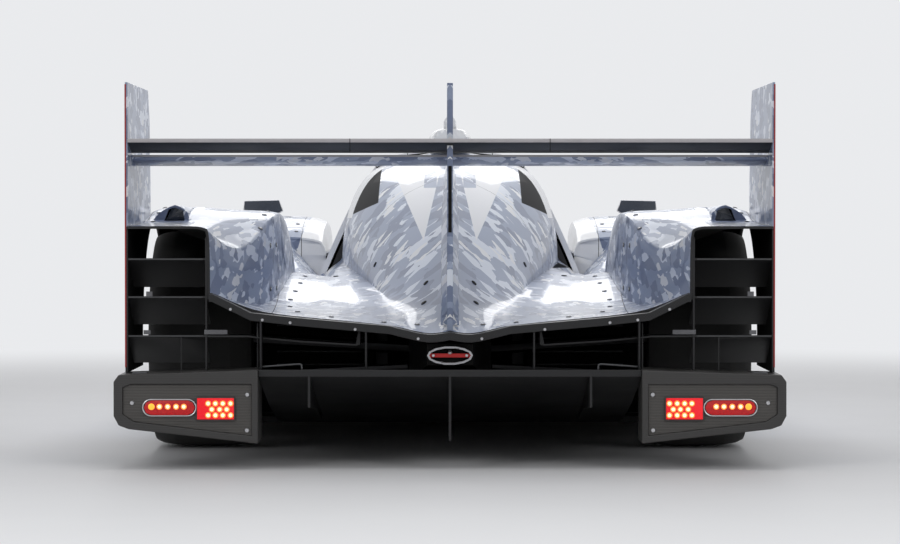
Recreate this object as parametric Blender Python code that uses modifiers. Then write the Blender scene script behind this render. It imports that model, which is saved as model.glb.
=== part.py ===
"""Closed-cockpit sports prototype race car, as separate panels and mechanical pieces.

Metres, +Z up, +Y towards the nose, +X to the car's right. The origin is on the
floor, at the middle of the length and the width.
"""
import math
from collections import namedtuple

import bmesh
import bpy
from mathutils import Matrix, Vector

# Overall sizes
LENGTH = 5.10
TAIL_Y = -LENGTH / 2
NOSE_Y = LENGTH / 2
WALL_X = 0.975              # outer face of the fenders and sidepods
POD_X = 1.000               # outer edge of the lamp pods, the widest point
REAR_AXLE_Y = -1.62
WHEELBASE = 3.148
FRONT_AXLE_Y = REAR_AXLE_Y + WHEELBASE

# Clearances and panel thicknesses
GAP = 0.0003                # between pieces that seat on each other
DOOR_GAP = 0.006            # around a door, which moves
PANEL = 0.008               # carbon body panel
GLASS = 0.005

# Wheels
TYRE_R = 0.355
BEAD_R = 0.229
FRONT_TYRE_W = 0.290
REAR_TYRE_W = 0.340
FRONT_TYRE_OUT = 0.950      # outer face of the front tyre
REAR_TYRE_OUT = 0.962
ARCH_CLEAR_FRONT = 0.045    # arch edge to tyre
ARCH_CLEAR_REAR = 0.030
KINGPIN_X = 0.730
WHEEL_SEGMENTS = 28
SPOKES = 10
LINK_SEGMENTS = 6           # around a suspension link

# Floor, splitter and diffuser
FLOOR_Z = 0.050
FLOOR_T = 0.020
FLOOR_TOP = FLOOR_Z + FLOOR_T
FLOOR_FRONT_Y = 1.080
FLOOR_REAR_Y = -1.200
SPLITTER_REAR_Y = 1.960
DIFFUSER_X = 0.571
BAR_LOW_Z = 0.276
BAR_TOP_Z = 0.297

# Seams along the length
COWL_Y = 1.140              # back edge of the nose, foot of the windscreen
HEADER_Y = 0.352            # top of the windscreen, front of the roof
SIDEPOD_FRONT_Y = 1.000     # also the back edge of the front fenders
DOOR_FRONT_Y = 0.954
DOOR_REAR_Y = -0.100
COVER_Y = DOOR_REAR_Y - DOOR_GAP
FENDER_Y = -0.800           # seam between sidepod and rear fender
PANEL_END_Y = -2.450        # trailing edge of the rear panels

# Tub
TUB_X = 0.500
TUB_TOP = 0.500
DOOR_LOW_Z = TUB_TOP + DOOR_GAP

# Wing
FIN_T = 0.018
FIN_TOP = 1.155
ENDPLATE_T = 0.008
ENDPLATE_X = WALL_X - ENDPLATE_T / 2   # flush with the fender's outer wall
ENDPLATE_TOP = 1.156
ENDPLATE_FRONT_Y = -1.780

FINISHES = {
    "livery": ((0.33, 0.38, 0.52), 0.15, 0.0),
    "white": ((0.85, 0.86, 0.88), 0.15, 0.0),
    "carbon": ((0.02, 0.02, 0.022), 0.40, 0.0),
    "pod": ((0.055, 0.052, 0.050), 0.45, 0.0),
    "glass": ((0.02, 0.02, 0.025), 0.05, 0.0),
    "rubber": ((0.015, 0.015, 0.015), 0.85, 0.0),
    "metal": ((0.45, 0.45, 0.47), 0.30, 1.0),
    "rim": ((0.06, 0.06, 0.065), 0.30, 1.0),
    "seat": ((0.05, 0.05, 0.05), 0.80, 0.0),
    "lamp": ((0.10, 0.10, 0.10), 0.20, 0.0),
    "red": ((0.60, 0.02, 0.02), 0.35, 0.0),
}

SHARP_ANGLE = 35

for old in list(bpy.data.objects):
    bpy.data.objects.remove(old, do_unlink=True)
CAR = bpy.data.collections.new("race_car")
CUTTERS = bpy.data.collections.new("cutters")
for collection in (CAR, CUTTERS):
    bpy.context.scene.collection.children.link(collection)


def add_object(name, mesh, finish):
    """Link a mesh as a named piece with a material of its own."""
    colour, roughness, metallic = FINISHES[finish]
    material = bpy.data.materials.new(name + "_" + finish)
    material.use_nodes = True
    shader = material.node_tree.nodes["Principled BSDF"]
    shader.inputs["Base Color"].default_value = (*colour, 1.0)
    shader.inputs["Roughness"].default_value = roughness
    shader.inputs["Metallic"].default_value = metallic
    mesh.materials.clear()
    mesh.materials.append(material)
    mesh.shade_smooth()
    mesh.set_sharp_from_angle(angle=math.radians(SHARP_ANGLE))
    piece = bpy.data.objects.new(name, mesh)
    CAR.objects.link(piece)
    return piece


def finish_bmesh(bm, name, finish):
    bm.normal_update()
    bmesh.ops.recalc_face_normals(bm, faces=bm.faces)
    mesh = bpy.data.meshes.new(name)
    bm.to_mesh(mesh)
    bm.free()
    return add_object(name, mesh, finish)


def combine(target, tool, operation):
    """Boolean of two pieces; the tool stays as a hidden guide."""
    if tool.name in CAR.objects:
        CAR.objects.unlink(tool)
    if tool.name not in CUTTERS.objects:
        CUTTERS.objects.link(tool)
    tool.hide_render = True
    tool.display_type = "WIRE"
    step = target.modifiers.new(operation.lower() + "_" + tool.name, "BOOLEAN")
    step.operation = operation
    step.object = tool
    return target


def cut(target, *tools):
    for tool in tools:
        combine(target, tool, "DIFFERENCE")
    return target


def join(target, *tools):
    for tool in tools:
        combine(target, tool, "UNION")
    return target


def smooth_table(rows, steps):
    """Rows of numbers with extra rows between them, on a smooth curve in every column."""
    rows = [tuple(row) for row in rows]
    padded = [rows[0]] + rows + [rows[-1]]
    dense = []
    for i in range(1, len(padded) - 2):
        a, b, c, d = padded[i - 1:i + 3]
        for k in range(steps):
            t = k / steps
            dense.append(tuple(
                0.5 * (2 * q + (r - p) * t + (2 * p - 5 * q + 4 * r - s) * t * t
                       + (3 * q - p - 3 * r + s) * t ** 3)
                for p, q, r, s in zip(a, b, c, d)))
    dense.append(rows[-1])
    return dense


def inset(points, thickness, closed=False):
    """The outline moved to its right by a thickness, in its own plane."""
    moved = []
    count = len(points)
    for i, point in enumerate(points):
        before = points[(i - 1) % count if closed else max(i - 1, 0)]
        after = points[(i + 1) % count if closed else min(i + 1, count - 1)]
        normals = []
        for p, q in ((before, point), (point, after)):
            dx, dz = q[0] - p[0], q[1] - p[1]
            size = math.hypot(dx, dz)
            if size > 1e-9:
                normals.append((dz / size, -dx / size))
        nx = sum(n[0] for n in normals)
        nz = sum(n[1] for n in normals)
        size = math.hypot(nx, nz)
        nx, nz = nx / size, nz / size
        lean = max(nx * normals[0][0] + nz * normals[0][1], 0.5)
        moved.append((point[0] + nx * thickness / lean, point[1] + nz * thickness / lean))
    return moved


def mirrored(half):
    """A whole outline from its right half, which starts on the centre line."""
    return [(-x, z) for x, z in reversed(half[1:])] + list(half)


def panel(name, stations, thickness, finish, side=1):
    """A skin of even thickness through open outlines, each (y, [(x, z), ...]).

    An outline runs clockwise seen from behind, so the thickness grows inwards.
    """
    bm = bmesh.new()
    grids = []
    for offset in (0.0, thickness):
        grid = []
        for y, outline in stations:
            points = inset(outline, offset) if offset else outline
            grid.append([bm.verts.new((side * x, y, z)) for x, z in points])
        grids.append(grid)
    outer, inner = grids
    rows, count = len(outer), len(outer[0])
    for i in range(rows - 1):
        for j in range(count - 1):
            for grid in grids:
                bm.faces.new((grid[i][j], grid[i + 1][j], grid[i + 1][j + 1], grid[i][j + 1]))
        for j in (0, count - 1):
            bm.faces.new((outer[i][j], outer[i + 1][j], inner[i + 1][j], inner[i][j]))
    for i in (0, rows - 1):
        for j in range(count - 1):
            bm.faces.new((outer[i][j], outer[i][j + 1], inner[i][j + 1], inner[i][j]))
    return finish_bmesh(bm, name, finish)


def loft(name, rings, finish, side=1):
    """A closed solid through closed rings, each (y, [(x, z), ...])."""
    bm = bmesh.new()
    loops = [[bm.verts.new((side * x, y, z)) for x, z in ring] for y, ring in rings]
    for first, second in zip(loops, loops[1:]):
        for j in range(len(first)):
            k = (j + 1) % len(first)
            bm.faces.new((first[j], first[k], second[k], second[j]))
    bm.faces.new(loops[0])
    bm.faces.new(loops[-1])
    return finish_bmesh(bm, name, finish)


PLANES = {
    "YZ": Matrix(((0, 0, 1), (1, 0, 0), (0, 1, 0))),
    "XZ": Matrix(((1, 0, 0), (0, 0, -1), (0, 1, 0))),
    "XY": Matrix.Identity(3),
}


def plate(name, outlines, plane, at, thickness, finish):
    """A flat outline, with holes if more outlines follow, extruded about its own plane."""
    curve = bpy.data.curves.new(name, "CURVE")
    curve.dimensions = "2D"
    curve.fill_mode = "BOTH"
    curve.extrude = thickness / 2
    for outline in outlines:
        spline = curve.splines.new("POLY")
        spline.points.add(len(outline) - 1)
        for point, (u, v) in zip(spline.points, outline):
            point.co = (u, v, 0.0, 1.0)
        spline.use_cyclic_u = True
    shape = bpy.data.objects.new(name, curve)
    bpy.context.scene.collection.objects.link(shape)
    bpy.context.view_layer.update()
    mesh = bpy.data.meshes.new_from_object(
        shape.evaluated_get(bpy.context.evaluated_depsgraph_get()))
    bpy.data.objects.remove(shape)
    bm = bmesh.new()
    bm.from_mesh(mesh)
    bpy.data.meshes.remove(mesh)
    bmesh.ops.remove_doubles(bm, verts=bm.verts, dist=1e-6)
    turn = PLANES[plane]
    normal = turn @ Vector((0, 0, 1))
    for vert in bm.verts:
        vert.co = turn @ vert.co + normal * at * (-1 if plane == "XZ" else 1)
    return finish_bmesh(bm, name, finish)


def box(name, low, high, finish):
    bm = bmesh.new()
    bmesh.ops.create_cube(bm, size=1.0)
    low, high = Vector(low), Vector(high)
    for vert in bm.verts:
        vert.co = (low + high) / 2 + Vector(a * b for a, b in zip(vert.co, high - low))
    return finish_bmesh(bm, name, finish)


def rod(name, start, end, radius, finish, segments=10):
    """A round bar between two points."""
    start, end = Vector(start), Vector(end)
    bm = bmesh.new()
    bmesh.ops.create_cone(bm, cap_ends=True, segments=segments, radius1=radius,
                          radius2=radius, depth=(end - start).length)
    turn = (end - start).to_track_quat("Z", "Y").to_matrix()
    for vert in bm.verts:
        vert.co = turn @ vert.co + (start + end) / 2
    return finish_bmesh(bm, name, finish)


def link(name, start, wall_end, radius, finish):
    """A round bar whose square-cut end just meets a wall across X at wall_end."""
    start, end = Vector(start), Vector(wall_end)
    across = abs((end - start).normalized().x)
    reach = radius * math.sqrt(1 - across * across) + GAP
    end.x += math.copysign(reach, start.x)
    return rod(name, start, end, radius, finish, LINK_SEGMENTS)


def turned(name, profile, centre, finish, side=1, segments=WHEEL_SEGMENTS):
    """A closed profile of (distance from the axis, distance outboard) turned about X."""
    mesh = bpy.data.meshes.new(name)
    count = len(profile)
    mesh.from_pydata([(r, 0, z) for r, z in reversed(profile)],
                     [(i, (i + 1) % count) for i in range(count)], [])
    piece = add_object(name, mesh, finish)
    piece.location = centre
    piece.rotation_euler = (0, side * math.pi / 2, 0)
    screw = piece.modifiers.new("turn", "SCREW")
    screw.steps = screw.render_steps = segments
    screw.use_merge_vertices = True
    screw.merge_threshold = 1e-5
    screw.use_smooth_shade = True
    return piece


def arc(cx, cz, radius, start, end, count):
    """Points of an arc, in degrees, both ends included."""
    return [(cx + radius * math.cos(math.radians(start + (end - start) * i / (count - 1))),
             cz + radius * math.sin(math.radians(start + (end - start) * i / (count - 1))))
            for i in range(count)]


def lerp(a, b, t):
    return a + (b - a) * t


SIDES = (("left", -1), ("right", 1))

# Rear bodywork. The engine cover, the rear fenders, the fin and the wing's endplates
# share these stations, so that their seams and seats follow each other.
RearRow = namedtuple("RearRow", """
    y spine_z shoulder_x shoulder_z flank_x flank_z foot_x foot_z deck_x deck_z rise wall_x
    edge_z corner_z crown_z edge_r low_z""")
POD_TOP_Z = 0.2845
SILL_Z = FLOOR_TOP + GAP
REAR_TABLE = [
    RearRow(COVER_Y, 1.000, 0.280, 0.943, 0.386, 0.770, 0.404, 0.590, 0.450, 0.557, 0.000, 0.500,
            0.500, 0.500, 0.520, 0.060, SILL_Z),
    RearRow(-0.450, 0.985, 0.262, 0.915, 0.384, 0.735, 0.396, 0.582, 0.445, 0.562, 0.008, 0.525,
            0.535, 0.545, 0.565, 0.060, SILL_Z),
    RearRow(FENDER_Y, 0.945, 0.225, 0.865, 0.350, 0.690, 0.362, 0.570, 0.440, 0.562, 0.020, 0.550,
            0.556, 0.615, 0.625, 0.060, SILL_Z),
    RearRow(-1.050, 0.895, 0.190, 0.810, 0.308, 0.645, 0.318, 0.552, 0.410, 0.546, 0.012, 0.550,
            0.556, 0.710, 0.720, 0.060, SILL_Z),
    RearRow(-1.300, 0.835, 0.155, 0.745, 0.262, 0.598, 0.274, 0.532, 0.400, 0.524, 0.012, 0.552,
            0.533, 0.762, 0.775, 0.050, SILL_Z),
    RearRow(-1.550, 0.765, 0.120, 0.675, 0.218, 0.555, 0.242, 0.510, 0.400, 0.500, 0.012, 0.556,
            0.508, 0.774, 0.783, 0.030, 0.200),
    RearRow(-1.750, 0.700, 0.095, 0.615, 0.182, 0.522, 0.222, 0.490, 0.410, 0.480, 0.012, 0.566,
            0.488, 0.762, 0.764, 0.006, POD_TOP_Z),
    RearRow(-1.900, 0.645, 0.075, 0.570, 0.154, 0.497, 0.210, 0.474, 0.415, 0.468, 0.014, 0.579,
            0.478, 0.740, 0.737, 0.005, POD_TOP_Z),
    RearRow(-2.050, 0.585, 0.060, 0.522, 0.128, 0.474, 0.200, 0.460, 0.420, 0.462, 0.018, 0.604,
            0.478, 0.690, 0.732, 0.004, POD_TOP_Z),
    RearRow(-2.150, 0.545, 0.052, 0.494, 0.112, 0.459, 0.194, 0.452, 0.430, 0.459, 0.024, 0.635,
            0.481, 0.658, 0.730, 0.004, POD_TOP_Z),
    RearRow(-2.300, 0.485, 0.046, 0.450, 0.098, 0.436, 0.186, 0.440, 0.440, 0.456, 0.040, 0.677,
            0.499, 0.672, 0.727, 0.004, POD_TOP_Z),
    RearRow(PANEL_END_Y, 0.410, 0.045, 0.403, 0.090, 0.406, 0.180, 0.428, 0.450, 0.452, 0.056,
            0.720, 0.524, 0.724, 0.724, 0.004, POD_TOP_Z),
]
RISE_RUN = 0.125            # width of the fillet between the deck and a fender's inner wall
FLAT_EDGE = 0.010           # level strip along a skin's side edge, so that its end is upright
CROWN_X = 0.860             # where a rear fender's top is highest


def cover_outline(row):
    edge_x = row.wall_x - GAP
    half = [(0.0, row.spine_z), (row.shoulder_x, row.shoulder_z), (row.flank_x, row.flank_z),
            (row.foot_x, row.foot_z)]
    half = smooth_table(half, 2)
    if row.rise:
        half += [(min(row.deck_x, row.wall_x - RISE_RUN - 0.020), row.deck_z),
                 (row.wall_x - RISE_RUN, row.edge_z - row.rise)]
    else:
        half += [(row.deck_x, row.deck_z), (lerp(row.deck_x, edge_x, 0.4), row.deck_z - 0.020)]
    return mirrored(half + [(edge_x - FLAT_EDGE, row.edge_z), (edge_x, row.edge_z)])


def rear_fender_outline(row):
    wall = row.wall_x + GAP
    corner_x = wall + 0.030
    return [(wall, row.edge_z - 0.020), (wall, row.corner_z - 0.030),
            (wall + 0.009, row.corner_z - 0.009), (corner_x, row.corner_z),
            (lerp(corner_x, CROWN_X, 0.4), lerp(row.corner_z, row.crown_z, 0.35)),
            (lerp(corner_x, CROWN_X, 0.7), lerp(row.corner_z, row.crown_z, 0.85)),
            (CROWN_X, row.crown_z), (WALL_X - row.edge_r, row.crown_z),
            (WALL_X - 0.3 * row.edge_r, row.crown_z - 0.3 * row.edge_r),
            (WALL_X, row.crown_z - row.edge_r), (WALL_X, row.low_z)]


# A rearward vent on each fender's crown. Its sections are in fractions of width and height.
VentRow = namedtuple("VentRow", "y in_x out_x foot_z top_z")
VENT_END_Y = -1.870
VENT_TABLE = [
    VentRow(-1.560, 0.845, 0.930, 0.778, 0.784),
    VentRow(-1.680, 0.838, 0.945, 0.760, 0.788),
    VentRow(-1.780, 0.834, 0.954, 0.742, 0.790),
    VentRow(VENT_END_Y, 0.832, 0.958, 0.728, 0.789),
]
VENT_SHAPE = [(0.00, 0.00), (0.03, 0.55), (0.17, 0.87), (0.37, 1.00), (0.60, 0.82), (0.81, 0.49),
              (1.00, 0.00)]
MOUTH_SHAPE = [(0.08, -0.30), (0.16, 0.72), (0.37, 0.88), (0.52, 0.78), (0.72, -0.30)]


def vent_ring(row, shape):
    return [(lerp(row.in_x, row.out_x, across), lerp(row.foot_z, row.top_z, up))
            for across, up in shape]


def arch_cutter(name, axle_y, radius, side):
    return rod(name, (side * 0.90, axle_y, TYRE_R), (side * 1.10, axle_y, TYRE_R), radius,
               "carbon", WHEEL_SEGMENTS)


engine_cover = panel("engine_cover", [(row.y, cover_outline(row)) for row in REAR_TABLE],
                     PANEL, "livery")
FENDER_ROWS = [row for row in REAR_TABLE if row.y <= FENDER_Y]
for side_name, side in SIDES:
    fender = panel("rear_fender_" + side_name,
                   [(row.y, rear_fender_outline(row)) for row in FENDER_ROWS], PANEL,
                   "livery", side)
    cut(fender, arch_cutter("rear_arch_" + side_name, REAR_AXLE_Y,
                            TYRE_R + ARCH_CLEAR_REAR, side))
    hump = loft("vent_hump_" + side_name,
                [(row.y, vent_ring(row, VENT_SHAPE)) for row in VENT_TABLE], "livery", side)
    mouth_rows = [VENT_TABLE[-2], VENT_TABLE[-1], VENT_TABLE[-1]._replace(y=VENT_END_Y - 0.020)]
    mouth = loft("vent_mouth_" + side_name,
                 [(row.y, vent_ring(row, MOUTH_SHAPE)) for row in mouth_rows], "carbon", side)
    cut(join(fender, hump), mouth)

# Front bodywork. The nose and the front fenders share these stations.
FrontRow = namedtuple("FrontRow", "y middle_z valley_z edge_x edge_z crown_z edge_r outer_x")
SPLITTER_TOP = FLOOR_TOP + 0.002
FRONT_TABLE = [
    FrontRow(SIDEPOD_FRONT_Y, 0.600, 0.600, 0.512, 0.600, 0.668, 0.070, WALL_X),
    FrontRow(COWL_Y, 0.603, 0.603, 0.512, 0.603, 0.710, 0.070, WALL_X),
    FrontRow(1.3500, 0.592, 0.575, 0.505, 0.585, 0.742, 0.070, WALL_X),
    FrontRow(FRONT_AXLE_Y, 0.572, 0.540, 0.505, 0.555, 0.752, 0.070, WALL_X),
    FrontRow(1.7500, 0.535, 0.485, 0.512, 0.505, 0.738, 0.075, WALL_X),
    FrontRow(1.9800, 0.478, 0.412, 0.535, 0.435, 0.684, 0.080, WALL_X),
    FrontRow(2.1800, 0.410, 0.336, 0.562, 0.355, 0.595, 0.085, 0.972),
    FrontRow(2.3400, 0.342, 0.268, 0.585, 0.282, 0.480, 0.085, 0.962),
    FrontRow(2.4500, 0.285, 0.215, 0.600, 0.225, 0.345, 0.080, 0.935),
    FrontRow(2.4900, 0.262, 0.194, 0.606, 0.200, 0.235, 0.050, 0.905),
]
NOSE_TIP = FrontRow(2.5400, 0.222, 0.160, 0.560, 0.165, 0.235, 0.050, 0.850)
NOSE_HALF_X = 0.200         # half-width of the raised middle


def nose_outline(row):
    edge_x = row.edge_x - GAP
    half = [(0.0, row.middle_z), (0.6 * NOSE_HALF_X, lerp(row.middle_z, row.valley_z, 0.04)),
            (NOSE_HALF_X, lerp(row.middle_z, row.valley_z, 0.18)),
            (lerp(NOSE_HALF_X, edge_x, 0.38), lerp(row.middle_z, row.valley_z, 0.80)),
            (lerp(NOSE_HALF_X, edge_x, 0.70), row.valley_z), (edge_x - FLAT_EDGE, row.edge_z)]
    return mirrored(half + [(edge_x, row.edge_z)])


def front_fender_outline(row):
    wall = row.edge_x + GAP
    r = row.edge_r
    foot_z = min(row.edge_z - 0.015, row.crown_z - 0.075)
    return [(wall, foot_z), (wall, row.crown_z - 0.060),
            (wall + 0.020, row.crown_z - 0.024), (wall + 0.070, row.crown_z - 0.006),
            (lerp(wall, row.outer_x, 0.58), row.crown_z), (row.outer_x - r, row.crown_z - 0.004),
            (row.outer_x - 0.45 * r, row.crown_z - 0.22 * r),
            (row.outer_x - 0.12 * r, row.crown_z - 0.6 * r),
            (row.outer_x, row.crown_z - 1.1 * r), (row.outer_x, SPLITTER_TOP + GAP)]


# Relief slots over the front wheel, and the wall that closes the fender's rear end.
SLOTS = 4
SLOT_X = 0.775
SLOT_FIRST_Y = 1.400
SLOT_PITCH = 0.062
SLOT_LENGTH = 0.032
SLOT_HALF_X = 0.095
SLOT_LOW_Z, SLOT_TOP_Z = 0.660, 0.800
BACK_T = 0.006
BACK_INSET = 0.002          # how far the rear wall's edge lies under the skin
BACK_LOW_Z = 0.470
# Strip between the windscreen's pillar and the fender: y, pillar line, height at the fender.
FILLER_T = 0.006
FILLER_CLEAR = 0.004
FILLER_TABLE = [
    (SIDEPOD_FRONT_Y + 0.001, (0.462, 0.625), 0.600),
    (COWL_Y - GAP, (0.497, 0.560), 0.594),
]

NOSE_ROWS = [row for row in FRONT_TABLE if row.y >= COWL_Y] + [NOSE_TIP]
panel("nose", [(row.y, nose_outline(row)) for row in NOSE_ROWS], PANEL, "livery")
for side_name, side in SIDES:
    fender = panel("front_fender_" + side_name,
                   [(row.y, front_fender_outline(row)) for row in FRONT_TABLE], PANEL,
                   "livery", side)
    cut(fender, arch_cutter("front_arch_" + side_name, FRONT_AXLE_Y,
                            TYRE_R + ARCH_CLEAR_FRONT, side))
    for index in range(SLOTS):
        y = SLOT_FIRST_Y + index * SLOT_PITCH
        cut(fender, box("slot_%s_%d" % (side_name, index),
                        (side * SLOT_X - SLOT_HALF_X, y, SLOT_LOW_Z),
                        (side * SLOT_X + SLOT_HALF_X, y + SLOT_LENGTH, SLOT_TOP_Z), "carbon"))
    back = inset(front_fender_outline(FRONT_TABLE[0]), BACK_INSET)[:-1]
    back = [(back[0][0], BACK_LOW_Z)] + back + [(back[-1][0], BACK_LOW_Z)]
    join(fender, plate("fender_back_" + side_name, [[(side * x, z) for x, z in back]], "XZ",
                       SIDEPOD_FRONT_Y + BACK_INSET + BACK_T / 2, BACK_T, "livery"))
    filler_rings = []
    for y, inner, wall_z in FILLER_TABLE:
        wall_x = FRONT_TABLE[0].edge_x + 0.25 * PANEL
        top = [(inner[0] + FILLER_CLEAR, inner[1] - FILLER_CLEAR), (wall_x, wall_z)]
        filler_rings.append((y, top + [(x, z - FILLER_T) for x, z in reversed(top)]))
    join(fender, loft("filler_" + side_name, filler_rings, "livery", side))

# Windscreen, roof and doors follow one canopy: a crown to the pillar line, a side below it.
CanopyRow = namedtuple("CanopyRow", "y middle_z pillar_x pillar_z")
PILLAR_TOP = (0.300, 0.925)
PILLAR_FOOT = (0.497, 0.560)


def pillar_row(y, middle_z):
    """A row of the windscreen, whose side edges lie on the straight front pillars."""
    t = (y - HEADER_Y) / (COWL_Y - HEADER_Y)
    return CanopyRow(y, middle_z, lerp(PILLAR_TOP[0], PILLAR_FOOT[0], t),
                     lerp(PILLAR_TOP[1], PILLAR_FOOT[1], t))


CANOPY_TABLE = [
    CanopyRow(COVER_Y + GAP, 1.000, 0.280, 0.943),
    CanopyRow(0.150, 0.996, 0.288, 0.937),
    pillar_row(HEADER_Y, 0.975),
    pillar_row(0.550, 0.905),
    pillar_row(0.750, 0.812),
    pillar_row(DOOR_FRONT_Y, 0.715),
    pillar_row(COWL_Y - GAP, 0.607),
]


def crown_outline(row):
    drop = row.middle_z - row.pillar_z
    half = [(0.0, row.middle_z), (0.45 * row.pillar_x, row.middle_z - 0.08 * drop),
            (0.80 * row.pillar_x, row.middle_z - 0.42 * drop), (row.pillar_x, row.pillar_z)]
    return mirrored(smooth_table(half, 2))


def door_outline(row):
    """The canopy's side from the pillar line down to the tub's rim."""
    top_x, top_z = row.pillar_x + 0.5 * DOOR_GAP, row.pillar_z - DOOR_GAP
    foot_x = TUB_X - DOOR_GAP
    rim_z = DOOR_LOW_Z + 0.020
    count = 5
    return [(lerp(top_x, foot_x, (i / count) ** 0.8), lerp(top_z, rim_z, i / count))
            for i in range(count + 1)] + [(foot_x, DOOR_LOW_Z)]


panel("roof", [(row.y - (GAP if row.y == HEADER_Y else 0), crown_outline(row))
               for row in CANOPY_TABLE if row.y <= HEADER_Y], PANEL, "white")
panel("windscreen", [(row.y, crown_outline(row)) for row in CANOPY_TABLE if row.y >= HEADER_Y],
      GLASS, "glass")

DOOR_T = 0.020
HINGE_LENGTH = 0.060
PIN_R = 0.0036
HINGE_OFFSET = (0.004, 0.002)   # outwards and down from the pillar line to the pins' axis
WINDOW = [(-0.040, 0.665), (0.800, 0.665), (0.420, 0.850), (0.340, 0.880), (-0.040, 0.898)]
door_rows = [row for row in CANOPY_TABLE if row.y <= DOOR_FRONT_Y]
door_rows[0] = door_rows[0]._replace(y=DOOR_REAR_Y)
for side_name, side in SIDES:
    stations = [(row.y, door_outline(row)) for row in door_rows]
    door = panel("door_" + side_name, stations, DOOR_T, "livery", side)
    window = plate("window_opening_" + side_name, [WINDOW], "YZ", side * 0.40, 0.40, "glass")
    cut(door, window)
    pane = panel("door_glass_" + side_name, stations, GLASS, "glass", side)
    pane_limit = plate("pane_limit_" + side_name, [inset(WINDOW, -GAP, closed=True)], "YZ",
                       side * 0.40, 0.40, "glass")
    combine(pane, pane_limit, "INTERSECT")
    # Two hinge pins on the line of the front pillar, each with a lug on the door's edge.
    for label, low_y in (("upper", 0.400), ("lower", 0.820)):
        ends = [pillar_row(y, 0) for y in (low_y, low_y + HINGE_LENGTH)]
        for part, (out, down) in (("pin", HINGE_OFFSET), ("lug", (0.5 * DOOR_GAP, DOOR_GAP))):
            start, end = [(side * (row.pillar_x + out), row.y, row.pillar_z - down)
                          for row in ends]
            join(door, rod("%s_%s_%s" % (part, label, side_name), start, end, PIN_R, "metal"))

# Sidepods, between the front wheels and the rear fenders.
SidepodRow = namedtuple("SidepodRow", "y wall_x edge_z inner_x ramp_z edge_r undercut")
SIDEPOD_TABLE = [
    SidepodRow(FENDER_Y + GAP, 0.550, 0.556, 0.610, 0.625, 0.060, 0.000),
    SidepodRow(-0.450, 0.525, 0.535, 0.600, 0.560, 0.060, 0.030),
    SidepodRow(COVER_Y, TUB_X, 0.492, 0.590, 0.500, 0.060, 0.045),
    SidepodRow(0.550, TUB_X, 0.487, 0.620, 0.535, 0.060, 0.040),
    SidepodRow(0.800, TUB_X, 0.486, 0.650, 0.612, 0.065, 0.020),
    SidepodRow(SIDEPOD_FRONT_Y - GAP, TUB_X, 0.485, 0.680, 0.668, 0.070, 0.000),
]


def sidepod_outline(row):
    """Inner edge, level strip beside the door, ramp up to the crown, then the outer wall."""
    wall, r = row.wall_x + GAP, row.edge_r
    waist_z = row.ramp_z - 1.1 * r
    return [(wall, row.edge_z), (wall + 0.030, row.edge_z + 0.002), (row.inner_x, row.ramp_z - 0.012),
            (row.inner_x + 0.060, row.ramp_z), (WALL_X - r, row.ramp_z - 0.004),
            (WALL_X - 0.45 * r, row.ramp_z - 0.22 * r), (WALL_X - 0.12 * r, row.ramp_z - 0.6 * r),
            (WALL_X, waist_z), (WALL_X - row.undercut, lerp(FLOOR_TOP, waist_z, 0.45)),
            (WALL_X - 0.6 * row.undercut, FLOOR_TOP + 0.060), (WALL_X, FLOOR_TOP + 0.015),
            (WALL_X, FLOOR_TOP + GAP)]


OUTLET = [(0.920, 0.130), (0.920, 0.430), (0.800, 0.400), (0.700, 0.300), (0.740, 0.150)]
for side_name, side in SIDES:
    pod = panel("sidepod_" + side_name, [(row.y, sidepod_outline(row)) for row in SIDEPOD_TABLE],
                PANEL, "livery", side)
    cut(pod, plate("side_outlet_" + side_name, [OUTLET], "YZ", side * WALL_X, 0.200, "carbon"))

# The tub: a closed foot box in front, an open cockpit, and the roll hoop's bulkhead.
TubRow = namedtuple("TubRow", "y half_x top_z")
FOOT_BOX_X = 0.300
TUB_TABLE = [
    TubRow(DOOR_REAR_Y, TUB_X, TUB_TOP),
    TubRow(SIDEPOD_FRONT_Y, TUB_X, TUB_TOP),
    TubRow(1.130, 0.400, TUB_TOP),
    TubRow(1.250, FOOT_BOX_X, TUB_TOP),
    TubRow(1.700, FOOT_BOX_X, 0.440),
    TubRow(SPLITTER_REAR_Y - 0.010, FOOT_BOX_X, 0.380),
]
TUB_WALL = 0.045


def tub_ring(row, inset_by, low_z, top_z):
    x = row.half_x - GAP - inset_by
    return [(-x, top_z), (x, top_z), (x, low_z + 0.060), (x - 0.060, low_z),
            (-x + 0.060, low_z), (-x, low_z + 0.060)]


tub = loft("tub", [(row.y, tub_ring(row, 0, FLOOR_TOP + GAP, row.top_z)) for row in TUB_TABLE],
           "carbon")
cockpit_rows = [TubRow(-0.050, TUB_X, 0.8)] + [row._replace(top_z=0.8) for row in TUB_TABLE[1:3]]
cockpit = loft("cockpit_space", [(row.y, tub_ring(row, TUB_WALL, 0.110, row.top_z))
                                 for row in cockpit_rows], "carbon")
foot_rows = [row._replace(y=row.y - 0.030) for row in TUB_TABLE[2:]]
foot_box = loft("foot_space", [(row.y, tub_ring(row, TUB_WALL, 0.112, row.top_z - 0.030))
                               for row in foot_rows], "carbon")
cut(tub, cockpit, foot_box)
HOOP_CLEAR = 0.010
hoop_side = inset(door_outline(CANOPY_TABLE[0]), DOOR_T + HOOP_CLEAR)[1:]
hoop_top = [p for p in inset(crown_outline(CANOPY_TABLE[0]), PANEL + HOOP_CLEAR)
            if abs(p[0]) < 0.55 * CANOPY_TABLE[0].pillar_x]
hoop_foot = [(hoop_side[-1][0], TUB_TOP - 0.020)]
half_hoop = [p for p in hoop_top if p[0] > 0] + hoop_side + hoop_foot
bulkhead = plate("bulkhead", [half_hoop + [(-x, z) for x, z in reversed(half_hoop)]],
                 "XZ", DOOR_REAR_Y + 0.020, 0.030, "carbon")
join(tub, bulkhead)

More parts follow.
